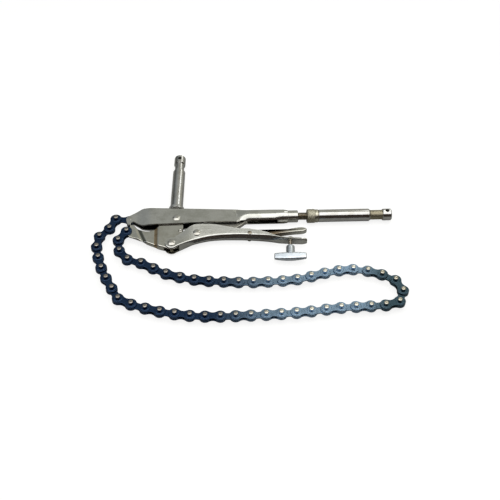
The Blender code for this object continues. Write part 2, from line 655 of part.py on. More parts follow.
def stud(name, start, direction, body, neck, head):
    """Turned 16 mm stud: body, neck and a cross-drilled head."""
    profile = [
        (0, STUD_RADIUS - STUD_CHAMFER / 2), (STUD_CHAMFER / 2, STUD_RADIUS), (body - STUD_CHAMFER, STUD_RADIUS),
        (body + STUD_CHAMFER, STUD_NECK_RADIUS), (body + neck - STUD_CHAMFER, STUD_NECK_RADIUS),
        (body + neck, STUD_HEAD_RADIUS), (body + neck + head - STUD_CHAMFER, STUD_HEAD_RADIUS),
        (body + neck + head, STUD_HEAD_RADIUS - STUD_CHAMFER),
    ]
    made = turned(name, profile, start, direction)
    middle = Vector(start) + Vector(direction).normalized() * (body + neck + head / 2)
    return drilled(made, middle.xy, STUD_HOLE_RADIUS, 2 * STUD_HEAD_RADIUS)


def rear_stud():
    """Stud in line with the tube, with a blind hole for the end of the screw."""
    made = stud("rear_stud", (STUD_START, TUBE_HEIGHT, 0), (1, 0, 0), REAR_BODY, REAR_NECK, REAR_HEAD)
    bore = SCREW_RADIUS + CLEARANCE
    hole = [(-OVERRUN, bore), (SCREW_GRIP + CLEARANCE, bore)]
    return combine(made, turned("hole", hole, (STUD_START, TUBE_HEIGHT, 0), (1, 0, 0), RIVET_SIDES))


def top_stud_axis():
    """Foot of the upright stud on the sloped top of the channel, and its direction."""
    top, _ = upper_edges()
    lean = math.radians(TOP_STUD_LEAN)
    return Vector((TOP_STUD_PLACE, height_at(top, TOP_STUD_PLACE), 0)), Vector((math.sin(lean), math.cos(lean), 0))


def top_stud():
    """Stud square to the top of the channel, standing in its welded foot."""
    foot, up = top_stud_axis()
    return stud("top_stud", foot + up * CLEARANCE, up, TOP_BODY, TOP_NECK, TOP_HEAD)


def stud_base():
    """Welded foot: a coned collar round the lower end of the upright stud."""
    foot, up = top_stud_axis()
    bore = STUD_RADIUS + CLEARANCE
    rim = bore + CLEARANCE
    profile = [
        (CLEARANCE, bore), (CLEARANCE, FOOT_RADIUS), (FOOT_RIM, FOOT_RADIUS),
        (FOOT_HEIGHT, rim), (FOOT_HEIGHT, bore),
    ]
    return turned("stud_base", profile, foot, up, ROUND_SIDES, bored=True)


def lock_axis():
    """Where the safety screw crosses the outer face of the web, and its downward direction."""
    _, low = lever_edges()
    x = HANDLE_PIVOT[0] + LOCK_SHARE * LEVER_REACH
    lean = math.radians(LOCK_LEAN)
    return Vector((x, height_at(low, x), 0)), Vector((-math.sin(lean), -math.cos(lean), 0))


def lock_screw():
    """Stem of the safety screw, through the web and the nut."""
    web, down = lock_axis()
    start = web - down * (SHEET + LEVER_FLANGE + LOCK_NUT_HEIGHT + LOCK_STEM_ABOVE)
    length = (web + down * LOCK_STEM_BELOW - start).length
    tip = LOCK_STEM_RADIUS - LOCK_STEM_CHAMFER
    profile = [(0, tip), (LOCK_STEM_CHAMFER, LOCK_STEM_RADIUS), (length, LOCK_STEM_RADIUS)]
    return turned("lock_screw", profile, start, down, RIVET_SIDES)


def lock_knob():
    """T-shaped knob: a round boss on the stem and a lens-shaped bar."""
    web, down = lock_axis()
    turn = math.radians(LOCK_TURN)
    along = Vector((-down.y * math.cos(turn), down.x * math.cos(turn), math.sin(turn)))
    thick = along.cross(down)
    bar_top = web + down * (LOCK_BOSS_DROP + LOCK_BOSS_LENGTH - LOCK_BAR_CHAMFER)
    rings = []
    for share in BAR_SHARES:
        bulge = 1 - share * share
        half = (LOCK_BAR_END + (LOCK_BAR_THICKNESS - LOCK_BAR_END) * bulge) / 2
        depth = LOCK_BAR_HEIGHT - LOCK_BAR_BELLY + LOCK_BAR_BELLY * bulge
        inset = LOCK_BAR_CHAMFER if abs(share) == 1.0 else 0.0
        centre = bar_top + along * (share * LOCK_BAR_LENGTH / 2)
        corners = (
            (inset, half - LOCK_BAR_CHAMFER), (inset + LOCK_BAR_CHAMFER, half - inset),
            (depth - LOCK_BAR_CHAMFER - inset, half - inset), (depth - inset, half - LOCK_BAR_CHAMFER),
        )
        ring = [centre + down * drop + thick * out for drop, out in corners]
        ring += [centre + down * drop - thick * out for drop, out in reversed(corners)]
        rings.append([tuple(point) for point in ring])
    made = skinned("lock_knob", rings)
    boss = [
        (0, LOCK_BOSS_RADIUS - LOCK_BAR_CHAMFER), (LOCK_BAR_CHAMFER, LOCK_BOSS_RADIUS),
        (LOCK_BOSS_LENGTH - LOCK_BAR_CHAMFER, LOCK_BOSS_RADIUS),
        (LOCK_BOSS_LENGTH + LOCK_BAR_CHAMFER, LOCK_BOSS_RADIUS - LOCK_BAR_CHAMFER),
    ]
    boss_top = web + down * LOCK_BOSS_DROP
    combine(made, turned("boss", boss, boss_top, down, BOSS_SIDES), "UNION")
    bore = LOCK_STEM_RADIUS + CLEARANCE
    depth = LOCK_STEM_BELOW - LOCK_BOSS_DROP + CLEARANCE
    return combine(made, turned("hole", [(-OVERRUN, bore), (depth, bore)], boss_top, down, RIVET_SIDES))


def lock_nut():
    """Round nut of the safety screw, seated on the low flanges of the tail."""
    web, down = lock_axis()
    seat = -(SHEET + LEVER_FLANGE + CLEARANCE)
    bore = LOCK_STEM_RADIUS + CLEARANCE
    high = seat - LOCK_NUT_HEIGHT
    profile = [
        (high, bore), (high, LOCK_NUT_RADIUS - LOCK_NUT_CHAMFER), (high + LOCK_NUT_CHAMFER, LOCK_NUT_RADIUS),
        (seat, LOCK_NUT_RADIUS), (seat, bore),
    ]
    return turned("lock_nut", profile, web, down, BOSS_SIDES, bored=True)


def spring_post():
    """Short post under the channel's web, cross-drilled for the spring's rear hook."""
    top, _ = upper_edges()
    x, y = SPRING_REAR
    length = height_at(top, x) - SHEET - POST_SINK - y
    profile = [(-POST_TIP, POST_RADIUS - POST_CHAMFER), (0, POST_RADIUS), (length, POST_RADIUS)]
    made = turned("spring_post", profile, (x, y, 0), (0, 1, 0), RIVET_SIDES)
    return drilled(made, SPRING_REAR, HOOK_HOLE_RADIUS, 2 * POST_RADIUS, PIN_SIDES)


def spring_path():
    """Points of the spring: a sideways hook, a straight lead, the curls, a lead and a hook."""
    front = Vector((*SPRING_FRONT, 0))
    rear = Vector((*SPRING_REAR, 0))
    axis = (rear - front).normalized()
    up = Vector((0, 0, 1))
    side = axis.cross(up)
    length = (rear - front).length - SPRING_FRONT_LEAD - SPRING_REAR_LEAD
    steps = SPRING_CURLS * SPRING_CURL_POINTS
    coil = []
    for i in range(steps + 1):
        share = i / steps
        radius = SPRING_COIL_RADIUS * min(1.0, 2 * SPRING_CURLS * share + 1 / SPRING_CURL_POINTS)
        angle = 2 * math.pi * i / SPRING_CURL_POINTS
        centre = front + axis * (SPRING_FRONT_LEAD + length * share)
        coil.append(centre + (up * math.cos(angle) + side * math.sin(angle)) * radius)
    front_hook = [front + up * (JAW_WIDTH / 2 + SPRING_HOOK), front + up * 2 * SPRING_WIRE_RADIUS]
    over = up * (POST_RADIUS + CLEARANCE + SPRING_WIRE_RADIUS)
    lead = axis * 2 * SPRING_WIRE_RADIUS
    rear_hook = [rear + over - lead, rear + over, rear - up * (POST_RADIUS + SPRING_HOOK)]
    return front_hook + [front + lead] + coil + rear_hook


def tension_spring():
    """Coil spring between the jaw and the post, as one unbroken tube."""
    points = spring_path()
    curve = bpy.data.curves.new("tension_spring", "CURVE")
    curve.dimensions = "3D"
    curve.bevel_depth = SPRING_WIRE_RADIUS
    curve.bevel_resolution = 1
    curve.use_fill_caps = True
    line = curve.splines.new("POLY")
    line.points.add(len(points) - 1)
    for knot, point in zip(line.points, points):
        knot.co = (*point, 1)
    made = bpy.data.objects.new("tension_spring", curve)
    bpy.context.scene.collection.objects.link(made)
    least = min(
        (a - b).length for i, a in enumerate(points) for b in points[i + SPRING_CURL_POINTS // 2:]
    ) - 2 * SPRING_WIRE_RADIUS
    print("tension_spring: least gap to itself", round(least * 1000, 2), "mm")
    return made


def chain_start():
    """First guess for every pin: a smooth curve through the route's places."""
    x0, y0 = CHAIN_ANCHOR
    seat = ((CHAIN_SEAT[0] - x0) / CHAIN_PITCH, (CHAIN_SEAT[1] - y0) / CHAIN_PITCH)
    route = [*CHAIN_ROUTE_SHARES, (CHAIN_PITCHES, *seat)]
    pins = []
    for number in range(CHAIN_PITCHES + 1):
        i = max(j for j in range(len(route) - 1) if route[j][0] <= number)
        before, here, after, beyond = (route[min(max(j, 0), len(route) - 1)] for j in (i - 1, i, i + 1, i + 2))
        t = (number - here[0]) / (after[0] - here[0])
        place = []
        for k in (1, 2):
            span = after[0] - here[0]
            start_slope = (after[k] - before[k]) / (after[0] - before[0]) * span
            end_slope = (beyond[k] - here[k]) / (beyond[0] - here[0]) * span
            height = (2 * t ** 3 - 3 * t ** 2 + 1) * here[k] + (3 * t ** 2 - 2 * t ** 3) * after[k]
            place.append(height + (t ** 3 - 2 * t ** 2 + t) * start_slope + (t ** 3 - t ** 2) * end_slope)
        pins.append(Vector((x0 + place[0] * CHAIN_PITCH, y0 + place[1] * CHAIN_PITCH)))
    return pins


def chain_pins():
    """Places of the pins, from the anchor to the jaw's hook, each one pitch from the next."""
    pins = chain_start()
    anchor = Vector(CHAIN_ANCHOR)
    seat = Vector(CHAIN_SEAT)
    for _ in range(SETTLING_PASSES):
        pins[-1] = seat
        for i in range(CHAIN_PITCHES - 1, -1, -1):
            pins[i] = pins[i + 1] + (pins[i] - pins[i + 1]).normalized() * CHAIN_PITCH
        pins[0] = anchor
        for i in range(1, CHAIN_PITCHES + 1):
            pins[i] = pins[i - 1] + (pins[i] - pins[i - 1]).normalized() * CHAIN_PITCH
    print("chain: last pin to seat", round((pins[-1] - seat).length * 1e6, 1), "micrometres")
    return pins


def plate_outline(start, end, steps):
    """Outline of a chain plate: two round eyes and a waist between them."""
    turn = math.degrees(math.atan2(end.y - start.y, end.x - start.x))
    middle = (start + end) / 2
    across = Vector((-(end - start).y, (end - start).x)).normalized() * CHAIN_WAIST / 2
    round_eye = 180 - CHAIN_NECK_ANGLE
    outline = arc(start, CHAIN_EYE_RADIUS, turn + 180 - round_eye, turn + 180 + round_eye, steps)
    outline.append(tuple(middle - across))
    outline += arc(end, CHAIN_EYE_RADIUS, turn - round_eye, turn + round_eye, steps)
    outline.append(tuple(middle + across))
    return outline


def chain_link(name, hinge, first, second):
    """One inner plate and one outer link with two pins, as a single body built up in layers along z.

    The inner plate turns on the pin at hinge. It is riveted on the first pin, and so are the two outer
    plates, whose second pin carries the next link.
    """
    half_inner = CHAIN_PLATE / 2
    near = half_inner + CLEARANCE
    far = near + CHAIN_PLATE
    end = CHAIN_PIN_LENGTH / 2
    inner = plate_outline(hinge, first, INNER_EYE_STEPS)
    outer = plate_outline(first, second, EYE_STEPS)
    hole = arc(hinge, CHAIN_PIN_RADIUS + CLEARANCE, 0, 360 - 360 / PIN_SIDES, PIN_SIDES - 1)
    pins = [arc(pin, CHAIN_PIN_RADIUS, 0, 360 - 360 / PIN_SIDES, PIN_SIDES - 1) for pin in (first, second)]
    verts = []
    faces = []

    def loop(points, z):
        verts.extend((x, y, z) for x, y in points)
        return list(range(len(verts) - len(points), len(verts)))

    def wall(low, high):
        count = len(low)
        for i in range(count):
            j = (i + 1) % count
            faces.append((low[i], low[j], high[j], high[i]))

    def level(*loops):
        flat = [index for ring in loops for index in ring]
        rings = [[Vector(verts[index]) for index in ring] for ring in loops]
        faces.extend(tuple(flat[i] for i in corner) for corner in tessellate_polygon(rings))

    roots = []
    for side in (-1, 1):
        plate_far = loop(outer, side * far)
        plate_near = loop(outer, side * near)
        wall(plate_far, plate_near)
        pin_far = [loop(pin, side * far) for pin in pins]
        pin_near = [loop(pin, side * near) for pin in pins]
        for pin, foot in zip(pins, pin_far):
            tip = loop(pin, side * end)
            wall(foot, tip)
            faces.append(tuple(tip))
        level(plate_far, *pin_far)
        level(plate_near, *pin_near)
        inner_face = loop(inner, side * half_inner)
        hole_face = loop(hole, side * half_inner)
        pin_face = loop(pins[0], side * half_inner)
        wall(pin_near[0], pin_face)
        level(inner_face, pin_face, hole_face)
        roots.append((inner_face, hole_face, pin_near[1]))
    for low, high in zip(*roots):
        wall(low, high)
    return node(name, verts, faces)


def chain():
    """All links, each hinged on the last pin of the one before it."""
    pins = chain_pins()
    links = {}
    for number in range(CHAIN_PITCHES // 2):
        hinge, first, second = pins[2 * number:2 * number + 3]
        name = f"chain_link_{number + 1:02d}"
        links[name] = (chain_link(name, hinge, first, second), tuple(hinge))
    return links


def paint(made, name, look):
    """Give an object its own material."""
    colour, metallic, roughness = look
    material = bpy.data.materials.new(name)
    material.use_nodes = True
    shader = material.node_tree.nodes["Principled BSDF"]
    shader.inputs["Base Color"].default_value = (*colour, 1.0)
    shader.inputs["Metallic"].default_value = metallic
    shader.inputs["Roughness"].default_value = roughness
    made.data.materials.clear()
    made.data.materials.append(material)


def move_origin(made, place):
    """Put an object's origin on a place without moving its shape."""
    made.data.transform(Matrix.Translation(-Vector(place)))
    made.location = place


def main():
    """Build every sub-part, set the origins on the joints and place the clamp."""
    for old in list(bpy.data.objects):
        bpy.data.objects.remove(old)
    tube_axis = (*LINK_END, 0)
    web, _ = lock_axis()
    lock_place = tuple(web)
    jaw_place = (*JAW_PIVOT, 0)
    handle_place = (*HANDLE_PIVOT, 0)
    wide = (CHANNEL_WIDTH, RIVET_SHANK_RADIUS, RIVET_HEAD_RADIUS, RIVET_HEAD_HEIGHT)
    small = (CHANNEL_WIDTH, SMALL_SHANK_RADIUS, SMALL_HEAD_RADIUS, SMALL_HEAD_HEIGHT)
    pieces = [
        (upper_handle(), NICKEL, jaw_place),
        (screw_bush(), NICKEL, tube_axis),
        (top_stud(), BRIGHT, jaw_place),
        (stud_base(), BRIGHT, jaw_place),
        (spring_post(), STEEL, jaw_place),
        (chain_anchor_pin(), NICKEL, jaw_place),
        (rivet("jaw_rivet", JAW_PIVOT, *wide), BRIGHT, jaw_place),
        (jaw(), NICKEL, jaw_place),
        (rivet("handle_rivet", HANDLE_PIVOT, *wide), BRIGHT, jaw_place),
        (lower_handle(), NICKEL, handle_place),
        (rivet("link_rivet", LINK_PIVOT, *wide), BRIGHT, handle_place),
        (rivet("release_rivet", RELEASE_PIVOT, *small), STEEL, handle_place),
        (lock_nut(), STEEL, handle_place),
        (toggle_link(), BRIGHT, (*LINK_PIVOT, 0)),
        (release_lever(), BRIGHT, (*RELEASE_PIVOT, 0)),
        (tension_spring(), SPRING_STEEL, jaw_place),
        (adjusting_screw(), STEEL, tube_axis),
        (rear_stud(), BRIGHT, tube_axis),
        (lock_collar(), STEEL, tube_axis),
        (lock_screw(), STEEL, lock_place),
        (lock_knob(), ZINC, lock_place),
    ]
    pieces += [(made, BLUED, (*hinge, 0)) for made, hinge in chain().values()]
    bpy.context.view_layer.update()
    corners = [made.matrix_world @ Vector(corner) for made, _, _ in pieces for corner in made.bound_box]
    low = Vector(min(corner[i] for corner in corners) for i in range(3))
    high = Vector(max(corner[i] for corner in corners) for i in range(3))
    shift = Vector((-(low.x + high.x) / 2, -(low.y + high.y) / 2, -low.z))
    for made, look, place in pieces:
        move_origin(made, place)
        made.location = Vector(place) + shift
        paint(made, made.name, look)
    print("clamp: shift from the drawing frame", tuple(round(v, 6) for v in shift))


main()
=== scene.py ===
"""Looks of the chain clamp: a locking plier with a long chain, two mounting studs and a T-handled screw.

Sizes are in millimetres in the drawing frame of the part: origin on the jaw's pivot, +X along the tube to
the rear, +Y from the lower handle towards the upright stud, +Z square to the side plates. One function turns
them into the metres of the shared frame.
"""

import logging
import math
from dataclasses import dataclass
from enum import Enum
from typing import Callable, Iterable, Sequence

import bmesh
import bpy
from mathutils import Matrix, Vector


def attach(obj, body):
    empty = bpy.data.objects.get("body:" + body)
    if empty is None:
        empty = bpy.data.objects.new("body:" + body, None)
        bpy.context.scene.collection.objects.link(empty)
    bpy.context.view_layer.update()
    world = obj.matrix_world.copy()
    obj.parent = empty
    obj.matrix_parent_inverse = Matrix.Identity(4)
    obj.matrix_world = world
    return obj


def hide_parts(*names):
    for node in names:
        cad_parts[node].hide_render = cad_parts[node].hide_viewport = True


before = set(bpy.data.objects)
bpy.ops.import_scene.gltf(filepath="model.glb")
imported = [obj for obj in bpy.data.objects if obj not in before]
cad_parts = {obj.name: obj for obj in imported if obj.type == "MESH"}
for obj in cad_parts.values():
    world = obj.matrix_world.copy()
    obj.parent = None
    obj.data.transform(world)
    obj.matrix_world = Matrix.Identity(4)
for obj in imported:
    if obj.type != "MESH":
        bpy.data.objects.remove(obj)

Point = tuple[float, float]
Socket = bpy.types.NodeSocket
Shape = tuple[list[Vector], list[tuple[int, ...]]]

LOG = logging.getLogger("chain_clamp")
MM = 0.001
DRAWING_PLACE = Vector((-85.219, 20.825, 9.0))

# Places and sizes that more than one sub-assembly needs
HEEL_PIVOT = (-5.9, -42.0)
LINK_PIVOT = (25.274, -25.908)
RELEASE_PIVOT = (90.889, -27.799)
SPRING_FRONT = (4.968, -19.992)
TUBE_HEIGHT = 5.0
TUBE_END = 141.0
CHAIN_PIN_RADIUS = 2.35
SHEET = 2.0
CHANNEL_HALF = 6.5
LARGE_RIVET = (3.0, 4.7, 2.0)
SMALL_RIVET = (1.5, 2.6, 0.9)
THREAD_SAMPLES = 8
CUT_MARGIN = 2.0


# Outlines


def on_circle(centre: Point, radius: float, angle: float) -> Point:
    """The point of a circle at an angle in degrees, from +X towards +Y."""
    turn = math.radians(angle)
    return (centre[0] + radius * math.cos(turn), centre[1] + radius * math.sin(turn))


def arc(centre: Point, radius: float, start: float, end: float, steps: int) -> list[Point]:
    """Points on an arc.

    Args:
        centre: centre in the plane.
        radius: radius of the arc.
        start: first angle in degrees, from +X towards +Y.
        end: last angle in degrees.
        steps: how many equal steps lie between them.

    Returns:
        The points, both ends included.
    """
    return [on_circle(centre, radius, start + (end - start) * i / steps) for i in range(steps + 1)]


def scaled(shares: Iterable[Point], x_size: float, y_size: float, origin: Point = (0.0, 0.0)) -> list[Point]:
    """Outline points from shares of two sizes, counted from an origin."""
    return [(origin[0] + x * x_size, origin[1] + y * y_size) for x, y in shares]


def rounded(points: Sequence[Point], reach: float, steps: int = 4, closed: bool = False) -> list[Point]:
    """Corners of a line eased into short curves.

    Args:
        points: corners of the line.
        reach: how far from a corner its curve starts, at most half of a side.
        steps: pieces in each curve.
        closed: whether the last corner joins the first one.

    Returns:
        The points of the eased line.
    """
    line: list[Point] = []
    for i, here in enumerate(points):
        if not closed and i in (0, len(points) - 1):
            line.append(here)
            continue
        corner = Vector(here)
        before = Vector(points[i - 1]) - corner
        after = Vector(points[(i + 1) % len(points)]) - corner
        first = corner + before.normalized() * min(reach, before.length * 0.499)
        last = corner + after.normalized() * min(reach, after.length * 0.499)
        for k in range(steps + 1):
            t = k / steps
            line.append(tuple(first * (1 - t) ** 2 + corner * (2 * t * (1 - t)) + last * t ** 2))
    return line


def wave(turns: float) -> float:
    """Triangle wave: 0 at whole turns and 1 half way between them."""
    return 1 - abs(2 * (turns % 1.0) - 1)


def height_at(edge: Sequence[Point], x: float) -> float:
    """Height of an edge at x, level past its ends."""
    if x <= edge[0][0]:
        return edge[0][1]
    for (x0, y0), (x1, y1) in zip(edge, edge[1:]):
        if x0 <= x <= x1 and x1 > x0:
            return y0 + (y1 - y0) * (x - x0) / (x1 - x0)
    return edge[-1][1]


def eased(value: float, start: float = 0.0, end: float = 1.0) -> float:
    """Smooth step from 0 to 1 between two places."""
    share = min(max((value - start) / (end - start), 0.0), 1.0)
    return share * share * (3.0 - 2.0 * share)


def level(value: float, start: float, end: float) -> float:
    """Straight ramp from 0 to 1 between two places, with the shortest easing at its ends."""
    return 0.75 * min(max((value - start) / (end - start), 0.0), 1.0) + 0.25 * eased(value, start, end)


def stations(*edges: Sequence[Point], least: float = 0.12, most: float = 4.0) -> list[float]:
    """Places along x for the rings of a loft.

    Args:
        edges: lines whose points each ask for a ring.
        least: rings closer than this become one.
        most: a longer gap than this gets more rings.

    Returns:
        The places in order.
    """
    places = sorted(x for edge in edges for x, _ in edge)
    kept = [places[0]]
    for x in places[1:]:
        gap = x - kept[-1]
        if gap < least:
            continue
        extra = int(gap // most)
        kept += [kept[-1] + gap * k / (extra + 1) for k in range(1, extra + 1)]
        kept.append(x)
    return kept


# Shapes


def loft(rings: Sequence[Sequence[Sequence[float]]], looped: bool = False) -> Shape:
    """A skin through rings of equal count.

    Args:
        rings: the rings, each a closed line of points.
        looped: whether the last ring joins the first one; otherwise both ends are capped.

    Returns:
        Corners and faces.
    """
    count = len(rings[0])
    corners = [Vector(point) for ring in rings for point in ring]
    faces: list[tuple[int, ...]] = []
    for i in range(len(rings) if looped else len(rings) - 1):
        here = i * count
        there = (i + 1) % len(rings) * count
        for j in range(count):
            k = (j + 1) % count
            faces.append((here + j, here + k, there + k, there + j))
    if not looped:
        faces.append(tuple(range(count)))
        faces.append(tuple(range((len(rings) - 1) * count, len(rings) * count)))
    return corners, faces


def circle(centre: Vector, across: Vector, other: Vector, radii: Sequence[float]) -> list[Vector]:
    """Ring of points in the plane of two directions, one for each radius."""
    turns = [2 * math.pi * i / len(radii) for i in range(len(radii))]
    return [centre + (across * math.cos(a) + other * math.sin(a)) * radius for a, radius in zip(turns, radii)]


def lathe(profile: Sequence[Point], start: Sequence[float], direction: Sequence[float], sides: int = 48,
          looped: bool = False) -> Shape:
    """A turned shape.

    Args:
        profile: distances along the axis with the radius there.
        start: where the axis starts.
        direction: direction of the axis.
        sides: facets round the axis.
        looped: whether the profile is closed, as of a ring.

    Returns:
        Corners and faces.
    """
    axis = Vector(direction).normalized()
    across = axis.orthogonal().normalized()
    other = axis.cross(across)
    return loft([circle(Vector(start) + axis * distance, across, other, [radius] * sides)
                 for distance, radius in profile], looped)


def inset_line(outline: Sequence[Point], depth: float) -> list[Point]:
    """A closed line moved inwards by a depth; the line turns towards +Y from +X."""
    moved = []
    for i, here in enumerate(outline):
        before = (Vector(here) - Vector(outline[i - 1])).normalized()
        after = (Vector(outline[(i + 1) % len(outline)]) - Vector(here)).normalized()
        along = (before + after).normalized()
        inward = Vector((-along.y, along.x))
        sharpness = max(inward.dot(Vector((-before.y, before.x))), 0.6)
        moved.append(tuple(Vector(here) + inward * (depth / sharpness)))
    return moved


def area_sign(outline: Sequence[Point]) -> float:
    """Positive where a closed line turns towards +Y from +X."""
    pairs = zip(outline, [*outline[1:], outline[0]])
    return sum(x0 * y1 - x1 * y0 for (x0, y0), (x1, y1) in pairs)


def slab(outline: Sequence[Point], low: float, high: float, rim: float, steps: int = 3) -> Shape:
    """A flat plate whose rims are rounded all the way round.

    Args:
        outline: closed line of its sides.
        low: height of its lower face.
        high: height of its upper face.
        rim: radius of the rims.
        steps: pieces in each rim.

    Returns:
        Corners and faces.
    """
    line = []
    for point in outline:
        if not line or (Vector(point) - Vector(line[-1])).length > 0.02:
            line.append(point)
    if (Vector(line[0]) - Vector(line[-1])).length < 0.02:
        line.pop()
    if area_sign(line) < 0:
        line.reverse()
    turns = [math.pi / 2 * i / steps for i in range(steps + 1)]
    levels = [(low + rim * (1 - math.cos(a)), rim * (1 - math.sin(a))) for a in turns]
    levels += [(high - rim * (1 - math.cos(a)), rim * (1 - math.sin(a))) for a in reversed(turns)]
    return loft([[(x, y, z) for x, y in inset_line(line, depth)] for z, depth in levels])


def joined(*shapes: Shape) -> Shape:
    """Several shapes as one."""
    corners: list[Vector] = []
    faces: list[tuple[int, ...]] = []
    for points, sides in shapes:
        faces += [tuple(len(corners) + i for i in side) for side in sides]
        corners += points
    return corners, faces


def placed(name: str, data: bpy.types.ID) -> bpy.types.Object:
    """A new object of some data, in the scene."""
    made = bpy.data.objects.new(name, data)
    bpy.context.scene.collection.objects.link(made)
    return made


def solid(name: str, shape: Shape) -> bpy.types.Object:
    """A mesh object of a shape, in metres of the shared frame, with its faces turned outwards."""
    corners, faces = shape
    mesh = bpy.data.meshes.new(name)
    mesh.from_pydata([tuple((corner + DRAWING_PLACE) * MM) for corner in corners], [], faces)
    work = bmesh.new()
    work.from_mesh(mesh)
    bmesh.ops.recalc_face_normals(work, faces=work.faces)
    work.to_mesh(mesh)
    work.free()
    return placed(name, mesh)


def cut(target: bpy.types.Object, shape: Shape) -> bpy.types.Object:
    """The target with a shape cut out of it."""
    tool = solid("cutter", shape)
    change = target.modifiers.new("cut", "BOOLEAN")
    change.operation = "DIFFERENCE"
    change.solver = "EXACT"
    change.object = tool
    graph = bpy.context.evaluated_depsgraph_get()
    mesh = bpy.data.meshes.new_from_object(target.evaluated_get(graph))
    target.modifiers.clear()
    target.data = mesh
    bpy.data.objects.remove(tool)
    return target


# Finishes


def linear_colour(code: str) -> tuple[float, float, float, float]:
    """Linear colour from an sRGB hex value such as #a0b0c0."""
    channels = [int(code[i:i + 2], 16) / 255 for i in (1, 3, 5)]
    return (*(c / 12.92 if c <= 0.04045 else ((c + 0.055) / 1.055) ** 2.4 for c in channels), 1.0)


def add_node(tree: bpy.types.NodeTree, kind: str, inputs: dict | None = None,
             **settings: object) -> bpy.types.Node:
    """A node with its settings, values and links.

    Args:
        tree: the tree that gets it.
        kind: type name of the node.
        inputs: socket name or number, with a value or with the output that feeds it.
        settings: properties of the node itself.

    Returns:
        The new node.
    """
    made = tree.nodes.new(kind)
    for name, value in settings.items():
        setattr(made, name, value)
    for key, value in (inputs or {}).items():
        if isinstance(value, bpy.types.NodeSocket):
            tree.links.new(value, made.inputs[key])
        else:
            made.inputs[key].default_value = value
    return made


def empty_tree(owner: bpy.types.Material | bpy.types.World) -> bpy.types.NodeTree:
    """The cleared node tree of a material or a world."""
    owner.use_nodes = True
    owner.node_tree.nodes.clear()
    return owner.node_tree


def maths(tree: bpy.types.NodeTree, operation: str, *values: Socket | float) -> Socket:
    """Result of an operation on values or outputs."""
    return add_node(tree, "ShaderNodeMath", dict(enumerate(values)), operation=operation).outputs[0]


def spread(tree: bpy.types.NodeTree, value: Socket, ends: Point, target: Point = (0.0, 1.0),
           soft: bool = True) -> Socket:
    """A value moved from one range to another.

    Args:
        tree: the tree that gets the node.
        value: the output to move.
        ends: the range that it comes from.
        target: the range that it goes to.
        soft: whether both ends are eased.

    Returns:
        The moved value.
    """
    ranges = {"From Min": ends[0], "From Max": ends[1], "To Min": target[0], "To Max": target[1]}
    return add_node(tree, "ShaderNodeMapRange", {"Value": value, **ranges},
                    interpolation_type="SMOOTHSTEP" if soft else "LINEAR").outputs[0]


def mixed(tree: bpy.types.NodeTree, share: Socket | float, first: Socket | str, second: Socket | str,
          blend: str = "MIX") -> Socket:
    """Mix of two colours, each an output or an sRGB hex value, by the share of the second."""
    colours = [linear_colour(end) if isinstance(end, str) else end for end in (first, second)]
    return add_node(tree, "ShaderNodeMix", {"Factor": share, "A": colours[0], "B": colours[1]},
                    data_type="RGBA", blend_type=blend).outputs["Result"]


class Grain(Enum):
    """How a surface was made: how fast its fine marks change along x, y and z."""

    ROLLED = (0.05, 1.0, 1.0)
    TURNED_ABOUT_X = (1.0, 0.04, 0.04)
    TURNED_ABOUT_Y = (0.04, 1.0, 0.04)
    TUMBLED = (1.0, 1.0, 1.0)


